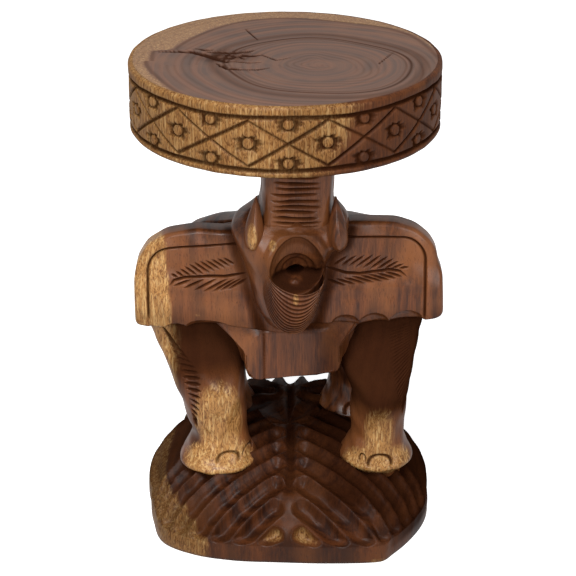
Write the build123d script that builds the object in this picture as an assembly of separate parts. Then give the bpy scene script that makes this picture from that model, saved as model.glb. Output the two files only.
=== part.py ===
from build123d import *
import math
import os

# Carved elephant stool: a round seat on the raised trunk of a standing elephant, on a fluted mound.
#
# Units are millimetres. +Z is up, the elephant faces -Y, +X is to the right of someone who looks at
# its face, and the origin is the middle of the underside. The real stool is cut from one log, so
# each solid is one carved region, and two neighbours meet face to face where the carver's cuts meet.

# ---- driving sizes: seat ----
stool_height = 508.0
seat_diameter = 320.0
seat_thickness = 72.0
seat_edge_round = 4.0
seat_lip_above = 11.5      # plain band above the carved band of the rim
seat_lip_below = 8.0
seat_groove_depth = 2.2
seat_groove_width = 3.6
lattice_repeats = 13       # diamonds once round the rim
lattice_height = 46.0
lattice_middle = 35.0      # height of the crossings above the seat's underside
flower_boss = 10.0         # width of the middle of each flower
flower_groove = 3.2        # width of the ring cut round it

# ---- base ----
base_half_width = 157.5    # also its reach to the sides and to the back
base_wall = 10.0           # upright edge below the mound
mound_rise = 74.0
mound_shoulder = 3.0       # a higher power gives the mound a flatter top
mound_back_shoulder = 6.5
base_sides = 44            # flat facets round the base
# the front half of the base's outline: plan angle in degrees, and reach as a share of the half width
base_front = (
    (-180, 1), (-165, 1), (-151, 1.067), (-138, 1.146), (-125, 1.114), (-112, 1.057), (-93, 1.01),
    (-80, 1.028), (-68, 1.09), (-57.5, 1.178), (-43, 1.117), (-25, 1.06), (-13, 1.01), (0, 1),
)

# ---- flutes of the mound, in distances along its surface ----
spine_shift = 3.0          # the leaf's spine lies this far right of the log's middle
spine_back = 77.0          # where the flutes begin to fan out round its end
spine_front = -126.0
spine_width = 14.0
spine_depth = 5.0
# share of the way from the spine's front end to its back, and share of its full size there
spine_sizes = ((0, 0.2), (0.06, 1), (0.4, 1), (0.7, 1), (0.94, 1), (1, 0.2))
flute_depth = 6.5
flute_slope = 0.83         # how far each flute comes forward for each mm outwards
flute_pitch = 29.0         # along the spine
flute_first = -158.0       # where the front pair would meet the spine
flute_pairs = 8            # in front of the fan
flute_share = 0.94         # of the pitch that a channel takes; the rest is its crest
flute_gap = 12.0           # from the spine to the thumb-shaped inner end of a channel
fan_first = 5.5            # degrees between the last pair and the fan's first
fan_pitch = 31.06          # degrees
fan_pairs = 4

# ---- body ----
figure_shift = 8.0         # the elephant's head stands this far right of the log's middle
body_half_width = 127.0
body_half_height = 73.0
body_middle_z = 250.0
body_front_y = -50.0       # behind the ears
body_back_y = 141.0
rump_drop = 23.0           # the rump's middle lies this far below the body's
chest_y = -80.0            # front of the chest, under the ears
chest_bottom_z = 181.5
chest_width = 100.0
chest_top_width = 141.0
chest_slope = 4.6          # degrees that its lower edge climbs to the right

# ---- head, jaw and trunk ----
head_half_width = 60.0
head_shift = -1.0          # the throat stands this far right of the log's middle
head_front_y = -112.0
head_back_y = 0.0
throat_z = 240.0           # lowest point of the head, under the jaw
chin_z = 248.0             # tip of the lower jaw
neck_z = 352.0             # where the head ends and the trunk begins
mouth_z = 316.0            # middle of the open mouth
mouth_width = 46.0
mouth_depth = 38.0
mouth_slope = 14.0         # degrees that the mouth runs down towards the throat
jaw_width = 62.0
jaw_depth = 46.0
jaw_reach = 14.0           # how far the lower lip stands out past the head
trunk_top_width = 72.0
trunk_top_depth = 78.0
trunk_foot_width = 98.0
trunk_foot_depth = 88.0
trunk_setback = 18.0       # from the front of the head to the front of the trunk
trunk_corner = 18.0
trunk_lean = 2.0           # the trunk's top stands this far right of its foot

# ---- tusks ----
tusk_length = 57.0
tusk_diameter = 20.0
tusk_spacing = 87.0        # between the middles of the two tusks
tusk_rise = 18.0           # the foot of each tusk stands this far above the mouth's middle
tusk_lean = 4.0            # degrees that each tip leans in towards the trunk

# ---- ears ----
ear_reach = 162.0          # from the log's middle to each ear's outer edge
left_ear_top_z = 342.0
left_ear_bottom_z = 232.0
right_ear_top_z = 350.0
right_ear_bottom_z = 238.0
ear_shoulder_radius = 48.0
ear_foot_radius = 9.0
ear_thickness = 26.0
ear_root_y = -84.0         # front of the ears' plane at the head
ear_tip_y = -56.0          # and at their outer edge
ear_lean = 0.13            # how far the plane leans back for each mm of height
ear_upright_z = 302.0      # height at which those two distances hold
ear_border = 13.0          # raised band along the top and the outer edge
ear_recess = 4.0
left_scallops = (12.0, 2.5)     # radius and depth of the three hollows cut up into the lower edge
right_scallops = (18.0, 6.0)
ear_scallop_count = 3

# ---- legs ----
leg_top_y = (-20.0, 78.0)       # front pair, rear pair
foot_y = (-50.0, 68.0)
leg_top_x = (-98.0, 99.0, -84.0, 82.0)   # front left, front right, rear left, rear right
foot_x = (-76.0, 96.0, -77.0, 75.0)
leg_top_rise = -8.0        # from the body's middle to the top of each leg, inside the body
leg_top_width = (100.0, 90.0, 92.0, 92.0)
leg_top_depth = (54.0, 76.0)
thigh_z = 200.0
knee_z = 154.0
knee_width = 69.0
shin_z = 122.0
ankle_z = 102.0
ankle_width = 60.0
foot_width = 83.0
foot_rim_z = 69.0          # underside of the foot's flared rim, at its outer edge
foot_rim = 4.0             # thickness of that rim
stem_width = 64.0
foot_burial = 34.0         # how deep the foot's stem sits in its pocket in the mound

# ---- tail ----
tail_width = 15.0
tuft_width = 22.0
tail_shift = -6.0          # from the log's middle
# the tail's route down the rump: height, distance behind the log's middle, share of its width
tail_route = ((296, 98, 0.6), (280, 121, 0.9), (260, 136, 1), (235, 143, 0.9), (214, 145, 0.8))
tuft_route = ((216, 145, 0.5), (194, 146, 1), (176, 145, 0.3))

# ---- worked out from those ----
seat_radius = seat_diameter / 2
seat_underside_z = stool_height - seat_thickness
trunk_front_y = head_front_y + trunk_setback
tusk_y = head_front_y + trunk_setback
leg_top_z = body_middle_z + leg_top_rise
flute_width = flute_share * flute_pitch * math.cos(math.atan(flute_slope))
fan_spread = flute_share * math.radians(fan_pitch)   # width of a fan's channel for each mm out


def between(table, at):
    """A value between the rows (place, value) of a table, on straight lines."""
    for (low, first), (high, last) in zip(table, table[1:]):
        if at <= high:
            return first + (last - first) * (at - low) / (high - low)
    return table[-1][1]


def base_radius(angle):
    """The base's outline as a distance from the middle at a plan angle: a circle behind, and in front
    two corners, of which the right one is cut off straight."""
    turned = math.degrees(math.atan2(math.sin(angle), math.cos(angle)))
    return base_half_width * (between(base_front, turned) if turned < 0 else 1)


def shoulder(angle):
    """The power that shapes the mound's profile at a plan angle: flatter topped behind."""
    behind = min(1, max(0, (math.sin(angle) - 0.1) / 0.7))
    return mound_shoulder + (mound_back_shoulder - mound_shoulder) * behind


def dome_share(angle, climb):
    """How far out the mound's profile has come, as a share, where its height has fallen by 1 - sin(climb)."""
    return math.cos(climb) ** (2 / shoulder(angle))


def dome_point(angle, climb):
    """A point of the mound's surface; climb is 0 at the wall and a right angle at the top."""
    r = base_radius(angle) * dome_share(angle, climb)
    return Vector(r * math.cos(angle), r * math.sin(angle), base_wall + mound_rise * math.sin(climb))


def walked(x, y):
    """The point of the mound's surface that is reached by walking from its top over (x, y)."""
    angle, left = math.atan2(y, x), math.hypot(x, y)
    steps = 90
    here = dome_point(angle, math.pi / 2)
    for step in range(1, steps + 1):
        there = dome_point(angle, math.pi / 2 * (1 - step / steps))
        length = (there - here).length
        if length >= left:
            return here + (there - here) * (left / length)
        here, left = there, left - length
    return here


def base_outline(climb, z=None):
    """The mound's outline at a height, as a polygon; z puts it at another height."""
    points = [dome_point(2 * math.pi * (step + 0.5) / base_sides, climb) for step in range(base_sides)]
    if z is not None:
        points = [Vector(point.X, point.Y, z) for point in points]
    return Wire.make_polygon(points, close=True)


def level_ellipse(x, y, z, width, depth):
    """A horizontal ellipse, as a face."""
    return Pos(x, y, z) * Ellipse(width / 2, depth / 2).face()


def level_block(x, y, z, width, depth, corner):
    """A horizontal rectangle with round corners, as a face."""
    return Pos(x, y, z) * RectangleRounded(width, depth, corner).face()


def upright_block(x, y, z, half_width, half_height, corner):
    """A rectangle with round corners that stands across the Y axis, as a face."""
    across = Plane(origin=(x, y, z), x_dir=(1, 0, 0), z_dir=(0, 1, 0))
    return across * RectangleRounded(2 * half_width, 2 * half_height, corner * half_height).face()


def trimmed(shape, *neighbours):
    """A piece with its neighbours' room cut out of it; chips cut loose by that are dropped."""
    for neighbour in neighbours:
        shape = shape - neighbour
    return max(shape.solids(), key=lambda solid: solid.volume)


def gouge(route, width, depth):
    """A cutter for a channel along a route over the mound, given as distances walked from its top with
    the shares of its width and of its depth at each. Its section is a trapezoid, widest above the
    surface."""
    places = [walked(x, y) for x, y, broad, sunk in route]
    sections = []
    for number, (x, y, broad, sunk) in enumerate(route):
        place = places[number]
        along = (places[min(number + 1, len(route) - 1)] - places[max(number - 1, 0)]).normalized()
        tilt = (walked(x * 1.02, y * 1.02) - walked(x * 0.98, y * 0.98)).normalized()
        level = Vector(-y, x, 0).normalized()
        up = tilt.cross(level)
        up = up if up.Z > 0 else up * -1
        side = along.cross(up).normalized()
        wide, deep = width * broad, depth * sunk
        corners = [
            place + side * wide * 0.8 + up * depth * 1.07,
            place + side * wide * 0.22 - up * deep,
            place - side * wide * 0.22 - up * deep,
            place - side * wide * 0.8 + up * depth * 1.07,
        ]
        sections.append(Wire.make_polygon(corners, close=True))
    return Solid.make_loft(sections, ruled=True)


def surface_length(angle):
    """Length of the walk from the mound's top down to its wall at a plan angle."""
    places = [dome_point(angle, math.pi / 2 * step / 60) for step in range(61)]
    return sum((there - here).length for here, there in zip(places, places[1:]))


def flute_route(start_y, degrees, side, spread):
    """The route of one flute: straight out from the spine at an angle, as far as the mound's wall. It
    widens where spread, a width for each mm out, asks for more than its usual width."""
    turn = (side * math.cos(math.radians(degrees)), math.sin(math.radians(degrees)))
    reach, stride = flute_gap, 5.0
    while True:
        x, y = spine_shift + turn[0] * (reach + stride), start_y + turn[1] * (reach + stride)
        if math.hypot(x, y) > surface_length(math.atan2(y, x)):
            break
        reach += stride
    full = flute_gap + 9
    stations = [(flute_gap, 0.3), (full, 0.9)]
    stations += [(full + (reach - full) * share, 1) for share in (0.25, 0.5, 0.75, 0.93)] + [(reach, 0.4)]
    return [
        (spine_shift + turn[0] * out, start_y + turn[1] * out, size * max(1, spread * out / flute_width), size)
        for out, size in stations
    ]


def flute_routes():
    """Routes of the flutes on both sides of the spine: straight pairs, the fan, and one at the back."""
    lean = -math.degrees(math.atan(flute_slope))
    starts = [(flute_first + number * flute_pitch, lean, 0) for number in range(flute_pairs)]
    starts += [(spine_back, lean + fan_first + number * fan_pitch, fan_spread) for number in range(fan_pairs)]
    routes = [flute_route(y, degrees, side, spread) for y, degrees, spread in starts for side in (-1, 1)]
    return routes + [flute_route(spine_back, 90, 1, fan_spread)]


def make_base():
    """The mound, in flat facets: up the wall and over the dome through its outlines at rising heights,
    with the leaf's channels cut from its sunk spine to the edge."""
    outlines = [base_outline(0, 0)] + [base_outline(math.radians(climb)) for climb in (0, 6, 14, 24, 36, 50, 66, 82)]
    mound = Solid.make_loft(outlines, ruled=True)
    cutters = [gouge(route, flute_width, flute_depth) for route in flute_routes()]
    run = spine_back - spine_front
    spine = [(spine_shift, spine_front + run * share, size, size) for share, size in spine_sizes]
    return trimmed(mound - cutters - gouge(spine, spine_width, spine_depth))


def rim_point(turn, z, out=0.0):
    """A point beside the seat's rim: turn is in lattice repeats from the middle of the front."""
    angle = 2 * math.pi * turn / lattice_repeats - math.pi / 2
    r = seat_radius + out
    return Vector(r * math.cos(angle), r * math.sin(angle), z)


def lattice_groove(repeat, climb):
    """A V cutter across one repeat of the rim, from foot to top of the lattice or the other way."""
    middle = seat_underside_z + lattice_middle
    flare = seat_groove_width / 2 * 1.5
    sections = []
    for share in (-0.5, -0.17, 0.17, 0.5):
        z = middle + climb * share * lattice_height
        place = rim_point(repeat + share, z)
        out = rim_point(repeat + share, z, 1) - place
        run = 2 * math.pi * seat_radius / lattice_repeats
        along = Vector(-out.Y * run, out.X * run, climb * lattice_height).normalized()
        side = along.cross(out).normalized()
        edge = out * seat_groove_depth * 0.5
        corners = (place + side * flare + edge, place - side * flare + edge, place - out * seat_groove_depth)
        sections.append(Wire.make_polygon(list(corners), close=True))
    return Solid.make_loft(sections, ruled=True)


def flower_ring(repeat):
    """A cutter for the ring round the boss of one flower, in the middle of a diamond."""
    place = rim_point(repeat + 0.5, seat_underside_z + lattice_middle)
    inward = Plane(origin=place, x_dir=(0, 0, 1), z_dir=rim_point(repeat + 0.5, 0).normalized())
    ring = RegularPolygon(flower_boss / 2 + flower_groove, 6) - RegularPolygon(flower_boss / 2, 6)
    return extrude(inward * ring, seat_groove_depth, both=True)


def make_seat():
    """The thick round top: a turned disc with round edges, a level groove at each end of its carved
    band, a lattice of crossed grooves between them and a flower's boss in each diamond."""
    disc = Pos(0, 0, seat_underside_z + seat_thickness / 2) * Cylinder(seat_radius, seat_thickness)
    disc = fillet(disc.edges().filter_by(GeomType.CIRCLE), seat_edge_round)
    outside = seat_radius + seat_edge_round
    flare = seat_groove_width / 2 * (seat_groove_depth + seat_edge_round) / seat_groove_depth
    for z in (seat_underside_z + seat_lip_below, stool_height - seat_lip_above):
        vee = Plane.XZ * Polygon(
            (seat_radius - seat_groove_depth, z), (outside, z - flare), (outside, z + flare), align=None
        )
        disc -= revolve(vee, Axis.Z)
    cutters = [lattice_groove(repeat, climb) for repeat in range(lattice_repeats) for climb in (-1, 1)]
    cutters += [flower_ring(repeat) for repeat in range(lattice_repeats)]
    return trimmed(disc - cutters)


def make_body():
    """The barrel, lofted from behind the ears to the rump, with the upright block of the chest in front."""
    sections = []
    # share of the length, of the half width and of the half height, and share of the rump's drop
    for along, wide, tall, low in (
        (0, 0.76, 0.97, 0),
        (0.18, 0.93, 1, 0),
        (0.4, 1, 1, 0),
        (0.65, 0.95, 0.9, 0.35),
        (0.84, 0.76, 0.74, 0.72),
        (1, 0.3, 0.38, 1),
    ):
        x, y = figure_shift * (1 - along) / 2, body_front_y + along * (body_back_y - body_front_y)
        z = body_middle_z - rump_drop * low
        sections.append(upright_block(x, y, z, body_half_width * wide, body_half_height * tall, 0.72))
    middle_x, hidden_z = figure_shift / 2 + 1, body_middle_z + 30
    left, right = middle_x - chest_width / 2, middle_x + chest_width / 2
    climb = math.tan(math.radians(chest_slope)) * chest_width / 2
    wider = (chest_top_width - chest_width) / 2
    front = Polygon(
        (left, chest_bottom_z - climb), (right, chest_bottom_z + climb), (right + 4, chest_bottom_z + 34),
        (right + wider, left_ear_bottom_z + 3), (right + wider, hidden_z), (left - wider, hidden_z),
        (left - wider, left_ear_bottom_z + 3), (left - 4, chest_bottom_z + 16), align=None
    )
    chest = Pos(0, chest_y, 0) * extrude(Plane.XZ * front, chest_y - body_front_y - 20)
    return (loft(sections) + chest).solids()[0]


def make_leg(place):
    """One leg: lofted from inside the body to the ankle, and out to the foot's thin flared rim, whose
    stem fills a pocket in the mound. place counts front left, front right, rear left, rear right."""
    row = place // 2
    top = Vector(leg_top_x[place], leg_top_y[row], leg_top_z)
    foot = Vector(foot_x[place], foot_y[row], foot_rim_z)
    width, depth = leg_top_width[place], leg_top_depth[row]
    sections = []
    # height, share of the way from the foot to the top in x and in y, width, depth
    for z, over_x, over_y, wide, deep in (
        (leg_top_z, 1, 1, width, depth),
        (thigh_z, 0.78, 0.6, width * 0.92, depth * 0.5 + knee_width * 0.42),
        (knee_z, 0.3, 0.15, knee_width, knee_width),
        (shin_z, 0.05, 0.05, ankle_width + 3, ankle_width),
        (ankle_z, 0, 0, ankle_width, ankle_width - 3),
    ):
        x, y = foot.X + (top.X - foot.X) * over_x, foot.Y + (top.Y - foot.Y) * over_y
        sections.append(level_ellipse(x, y, z, wide, deep))
    flare = [sections[-1]]
    rim_top = foot_rim_z + foot_rim
    # share of the height above the rim, and share of the flare
    for up, out in ((0.6, 0.18), (0.25, 0.5), (0, 1)):
        wide = ankle_width + (foot_width - ankle_width) * out
        flare.append(level_ellipse(foot.X, foot.Y, rim_top + up * (ankle_z - rim_top), wide, wide))
    rim = Pos(foot.X, foot.Y, foot_rim_z + foot_rim / 2) * Cylinder(foot_width / 2, foot_rim)
    stem = Pos(foot.X, foot.Y, foot_rim_z - foot_burial / 2) * Cylinder(stem_width / 2, foot_burial)
    return (loft(sections) + loft(flare) + rim + stem).solids()[0]


def make_head():
    """Throat, cheeks and skull, lofted upwards: narrow below, and widest between the ears."""
    depth = head_back_y - head_front_y
    sections = []
    # share of the height, of the width and of the depth, and how far the front lies back
    for up, wide, deep, back in (
        (0, 0.22, 0.55, 0.18),
        (0.15, 0.48, 0.9, 0.06),
        (0.5, 0.67, 0.98, 0.02),
        (0.78, 0.83, 0.99, 0.01),
        (0.9, 0.96, 0.96, 0.03),
        (1, 0.99, 0.86, 0.1),
    ):
        x, y = head_shift + up * 2, head_front_y + depth * (back + deep / 2)
        z = throat_z + up * (neck_z - throat_z)
        sections.append(level_ellipse(x, y, z, 2 * head_half_width * wide, depth * deep))
    return loft(sections).solids()[0]


def make_jaw():
    """The lower jaw, a pointed scoop lofted from its tip up to the lip, which stands out past the head."""
    lip_z = mouth_z - mouth_width / 4
    sections = []
    # share of the height, of the width and of the depth
    for up, wide, deep in ((0, 0.16, 0.4), (0.3, 0.56, 0.72), (0.7, 0.9, 0.96), (1, 1, 1)):
        front = head_front_y - jaw_reach * (0.4 + 0.6 * up)
        y, z = front + jaw_depth * deep / 2, chin_z + up * (lip_z - chin_z)
        x = head_shift + (figure_shift - head_shift) * (0.5 + 0.3 * up)
        sections.append(level_ellipse(x, y, z, jaw_width * wide, jaw_depth * deep))
    return loft(sections).solids()[0]


def mouth_hole():
    """The open mouth: a hole that narrows and slopes down towards the throat."""
    inward = Vector(0, math.cos(math.radians(mouth_slope)), -math.sin(math.radians(mouth_slope)))
    lip = Vector(figure_shift, head_front_y, mouth_z)
    outside = Plane(origin=lip - inward * 2 * jaw_reach, x_dir=(1, 0, 0), z_dir=inward)
    throat = Plane(origin=lip + inward * mouth_depth, x_dir=(1, 0, 0), z_dir=inward)
    return loft([outside * Circle(mouth_width * 0.62).face(), throat * Circle(mouth_width * 0.2).face()])


def make_trunk():
    """The raised trunk that carries the seat, lofted from its wide foot on the head to the seat."""
    sections = []
    # share of the height, and how much of the widening towards the foot is left there
    for up, spread in ((0, 1), (0.45, 0.3), (1, 0)):
        width = trunk_top_width + (trunk_foot_width - trunk_top_width) * spread
        depth = trunk_top_depth + (trunk_foot_depth - trunk_top_depth) * spread
        z = neck_z + up * (seat_underside_z - neck_z)
        x = figure_shift + trunk_lean * up
        sections.append(level_block(x, trunk_front_y + depth / 2, z, width, depth, trunk_corner))
    return loft(sections).solids()[0]


def make_tusk(side):
    """A teardrop turned about its own axis, point up; side is -1 for the left and 1 for the right."""
    r = tusk_diameter / 2
    belly, shoulder, tip = (r, tusk_length * 0.3), (0.35 * r, tusk_length * 0.85), (0, tusk_length)
    outline = Spline((0, 0), belly, shoulder, tip, tangents=[(1, 0.15), (-0.2, 1)])
    half = Plane.XZ * make_face(outline + Line(tip, (0, 0)))
    foot = Pos(figure_shift + side * tusk_spacing / 2, tusk_y, mouth_z + tusk_rise)
    return foot * Rot(0, -side * tusk_lean, 0) * revolve(half, Axis.Z).solids()[0]


def ear_outline(side, top_z, bottom_z, inset):
    """An ear seen from the front, from the head's middle outwards, drawn in at its top and side."""
    outer, top = ear_reach - inset, top_z - inset
    shoulder = ear_shoulder_radius - inset
    middle, foot = side * figure_shift, ear_foot_radius
    lines = Line((middle, bottom_z), (outer - foot, bottom_z))
    lines += RadiusArc((outer - foot, bottom_z), (outer, bottom_z + foot), -foot)
    lines += Line((outer, bottom_z + foot), (outer, top - shoulder))
    lines += RadiusArc((outer, top - shoulder), (outer - shoulder, top), -shoulder)
    lines += Line((outer - shoulder, top), (middle, top))
    lines += Line((middle, top), (middle, bottom_z))
    return Plane.XZ * make_face(lines)


def ear_slice(side, front, back):
    """A slanted, leaning slab, between two distances behind the plane of the ears' fronts."""
    middle = side * figure_shift
    root_y, tip_y = (y - ear_lean * ear_upright_z for y in (ear_root_y, ear_tip_y))
    plan = Polygon(
        (middle, root_y + front),
        (ear_reach + 1, tip_y + front),
        (ear_reach + 1, tip_y + back),
        (middle, root_y + back),
        align=None,
    )
    return extrude(plan, stool_height, dir=(0, ear_lean, 1))


def make_ear(side, top_z, bottom_z, scallops):
    """A spread ear, swept back to its edge: a raised band round a sunk front, and a scalloped foot."""
    far = seat_diameter
    ear = extrude(ear_outline(side, top_z, bottom_z, 0), far, both=True) & ear_slice(side, 0, ear_thickness)
    sunk = extrude(ear_outline(side, top_z, bottom_z - far, ear_border), far, both=True)
    ear -= sunk & ear_slice(side, -far, ear_recess)
    radius, depth = scallops
    pitch = 2 * math.sqrt(radius**2 - (radius - depth) ** 2) + 2
    first = side * figure_shift + head_half_width
    for place in range(ear_scallop_count):
        hollow = Cylinder(radius, far, rotation=(90, 0, 0))
        ear -= Pos(first + place * pitch, ear_root_y, bottom_z + depth - radius) * hollow
    ear = trimmed(ear)
    return mirror(ear, Plane.YZ) if side < 0 else ear


def room_before_ear(side, top_z, bottom_z):
    """What the carver clears away in front of an ear, down to its lower edge."""
    far = seat_diameter
    outline = extrude(ear_outline(side, top_z, bottom_z, 0), far, both=True)
    return outline & ear_slice(side, -far, ear_thickness / 2)


def make_tail():
    """The tail, in eight flat sides: down the slope of the rump, straight down, and out to its tuft."""
    parts = []
    for route, width in ((tail_route, tail_width), (tuft_route, tuft_width)):
        rings = [Pos(tail_shift, y, z) * RegularPolygon(width * share / 2, 8).wire() for z, y, share in route]
        parts.append(Solid.make_loft(rings, ruled=True))
    return (parts[0] + parts[1]).solids()[0]


def make_stool():
    """Every carved region by name, each with its neighbours' room cut out of it."""
    front_left_leg, front_right_leg, rear_left_leg, rear_right_leg = (make_leg(place) for place in range(4))
    body, head, jaw, mouth, trunk = make_body(), make_head(), make_jaw(), mouth_hole(), make_trunk()
    left_tusk, right_tusk = make_tusk(-1), make_tusk(1)
    left_room = mirror(room_before_ear(-1, left_ear_top_z, left_ear_bottom_z), Plane.YZ)
    right_room = room_before_ear(1, right_ear_top_z, right_ear_bottom_z)
    left_ear = trimmed(make_ear(-1, left_ear_top_z, left_ear_bottom_z, left_scallops), head, jaw)
    right_ear = trimmed(make_ear(1, right_ear_top_z, right_ear_bottom_z, right_scallops), head, jaw)
    return {
        "seat": make_seat(),
        "trunk": trimmed(trunk, left_tusk, right_tusk),
        "head": trimmed(head, jaw, mouth, left_tusk, right_tusk),
        "lower_jaw": trimmed(jaw, mouth),
        "left_tusk": left_tusk,
        "right_tusk": right_tusk,
        "left_ear": left_ear,
        "right_ear": right_ear,
        "body": trimmed(body, head, jaw, left_ear, right_ear, left_room, right_room),
        "front_left_leg": trimmed(front_left_leg, body, head, jaw, left_ear, left_room),
        "front_right_leg": trimmed(front_right_leg, body, head, jaw, right_ear, right_room),
        "rear_left_leg": trimmed(rear_left_leg, body),
        "rear_right_leg": trimmed(rear_right_leg, body),
        "tail": trimmed(make_tail(), body, rear_left_leg, rear_right_leg),
        "base": trimmed(make_base(), front_left_leg, front_right_leg, rear_left_leg, rear_right_leg),
    }


if __name__ == "__main__":
    os.makedirs("parts", exist_ok=True)
    for name, piece in make_stool().items():
        piece.label = name
        export_step(piece, f"parts/{name}.step")
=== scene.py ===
import math

import bpy
import numpy as np
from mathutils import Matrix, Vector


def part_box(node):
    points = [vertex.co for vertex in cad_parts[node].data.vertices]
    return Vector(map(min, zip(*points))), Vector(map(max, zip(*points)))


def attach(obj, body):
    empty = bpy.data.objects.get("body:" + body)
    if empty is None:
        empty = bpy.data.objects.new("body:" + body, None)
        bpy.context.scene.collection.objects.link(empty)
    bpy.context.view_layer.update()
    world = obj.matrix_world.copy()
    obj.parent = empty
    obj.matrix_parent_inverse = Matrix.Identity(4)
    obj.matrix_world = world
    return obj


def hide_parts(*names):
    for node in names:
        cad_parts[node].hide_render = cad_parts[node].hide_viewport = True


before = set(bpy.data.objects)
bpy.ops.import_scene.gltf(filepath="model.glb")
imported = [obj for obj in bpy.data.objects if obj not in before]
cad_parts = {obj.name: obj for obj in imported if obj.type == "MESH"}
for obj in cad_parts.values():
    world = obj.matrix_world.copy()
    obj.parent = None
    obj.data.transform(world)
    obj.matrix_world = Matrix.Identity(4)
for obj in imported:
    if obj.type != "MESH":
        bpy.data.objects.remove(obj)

bl_info = {
    "name": "Carved Elephant Stool",
    "version": (1, 0, 0),
    "blender": (4, 5, 0),
    "location": "3D View > Sidebar > Stool",
    "description": "Dresses the packed stool with its carved surfaces and its wood",
    "category": "Object",
}

# Shapes are worked out in millimetres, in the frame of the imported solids, and written to meshes in metres.
MM = 0.001


def node_box(name):
    """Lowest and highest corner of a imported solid, in millimetres."""
    return tuple(np.array(corner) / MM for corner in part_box(name))


SEAT_LOW, SEAT_HIGH = node_box("seat")
BASE_LOW, BASE_HIGH = node_box("base")
SEAT_RADIUS = (SEAT_HIGH[0] - SEAT_LOW[0]) / 2
FRONT = 1.5 * math.pi


# ---- curves and grids ----


def step(low, high, value):
    """0 below low, 1 above high, and the cubic 3t^2 - 2t^3 between them."""
    t = np.clip((value - low) / (high - low), 0, 1)
    return t * t * (3 - 2 * t)


def swell(value, middle, half):
    """1 at the middle and 0 from half away on: (1 - t^2)^2."""
    t = np.clip(np.abs(value - middle) / half, 0, 1)
    return (1 - t * t) ** 2


def through(stations, at):
    """Values between stations (key, value, ...): cubic Hermite curves with centred slopes."""
    table = np.array(sorted(stations), float)
    keys, values = table[:, 0], table[:, 1:]
    slopes = np.gradient(values, keys, axis=0)
    at = np.clip(at, keys[0], keys[-1])
    i = np.clip(np.searchsorted(keys, at, side="right") - 1, 0, len(keys) - 2)
    span = (keys[i + 1] - keys[i])[..., None]
    t = (at - keys[i])[..., None] / span
    start = (2 * t**3 - 3 * t**2 + 1) * values[i] + (t**3 - 2 * t**2 + t) * span * slopes[i]
    end = (3 * t**2 - 2 * t**3) * values[i + 1] + (t**3 - t**2) * span * slopes[i + 1]
    return start + end


def rounded_outline(corners, rounding, count):
    """A closed outline through few corners: a polyline walked at even speed, then a running mean."""
    loop = np.array(list(corners) + [corners[0]], float)
    walked = np.concatenate([[0], np.cumsum(np.linalg.norm(np.diff(loop, axis=0), axis=1))])
    fine = 2048
    at = np.linspace(0, walked[-1], fine, endpoint=False)
    points = np.stack([np.interp(at, walked, loop[:, k]) for k in (0, 1)], -1)
    half = max(1, int(fine * rounding / walked[-1] / 2))
    weights = np.hanning(2 * half + 3)[1:-1]
    weights /= weights.sum()
    padded = np.concatenate([points[-half:], points, points[:half]])
    smooth = np.stack([np.convolve(padded[:, k], weights, "valid") for k in (0, 1)], -1)
    return smooth[np.linspace(0, fine, count, endpoint=False).astype(int)]


def squared(angle, power):
    """A superellipse of half size 1: cosine and sine, each raised to 2 / power with its sign kept."""
    cosine, sine = np.cos(angle), np.sin(angle)
    return np.sign(cosine) * np.abs(cosine) ** (2 / power), np.sign(sine) * np.abs(sine) ** (2 / power)


def turns(count, focus=0.0, towards=FRONT):
    """Angles once round, closer together on one side: a - focus sin(a), turned to that side."""
    angle = np.linspace(0, 2 * np.pi, count, endpoint=False)
    return angle - focus * np.sin(angle) + towards


def post(stations, levels, angles):
    """Level rings of a carved post: superellipses whose middle, half sizes and power follow stations
    (z, x, y, half width, half depth, power)."""
    x, y, wide, deep, power = (column[:, None] for column in through(stations, levels).T)
    across, back = squared(angles, power)
    return np.stack([x + wide * across, y + deep * back, levels[:, None] + 0 * across], -1)


def outward(grid):
    """Unit normals of a grid of rings: the cross product of the steps round it and along it, turned
    away from the grid's middle."""
    around = np.roll(grid, -1, 1) - np.roll(grid, 1, 1)
    normal = np.cross(around, np.gradient(grid, axis=0))
    normal /= np.maximum(np.linalg.norm(normal, axis=-1, keepdims=True), 1e-9)
    side = np.sum((grid - grid.mean((0, 1))) * normal)
    return normal * np.sign(side)


def pushed(grid, rise):
    """A grid with each point moved out along its normal: point + rise normal."""
    return grid + outward(grid) * rise[..., None]


def level_rings(radius, angles, levels):
    """Level rings about the stool's axis: radius cos(angle), radius sin(angle), level."""
    return np.stack([radius * np.cos(angles), radius * np.sin(angles), levels[:, None] + 0 * radius], -1)


def quarter_round(radius, count):
    """A rounded edge as its distances from the wall and from the face beside it, from face to wall:
    radius (1 - sin) and radius (1 - cos)."""
    turn = np.linspace(0, np.pi / 2, count)
    return radius * (1 - np.sin(turn)), radius * (1 - np.cos(turn))


def gouged(points, path, width, depth, taper=0.3):
    """How deep a gouge cuts at each point as it runs along a path: a round groove, 1 - (d / half)^2,
    whose width and depth swell from nothing over its two ends."""
    least = 0.02    # square of the share of the width left at the very ends
    path = np.array(path, float)
    lengths = np.linalg.norm(np.diff(path, axis=0), axis=1)
    walked = np.concatenate([[0], np.cumsum(lengths)]) / lengths.sum()
    cut = np.zeros(points.shape[:-1])
    for start, end, begun, done in zip(path[:-1], path[1:], walked[:-1], walked[1:]):
        run = end - start
        t = np.clip((points - start) @ run / (run @ run), 0, 1)
        share = begun + t * (done - begun)
        ends = np.clip(np.minimum(share, 1 - share) / taper, least, 1) ** 0.5
        away = np.linalg.norm(points - start - t[..., None] * run, axis=-1)
        cut = np.maximum(cut, depth * ends * np.clip(1 - (2 * away / (width * ends)) ** 2, 0, 1))
    return cut


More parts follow.
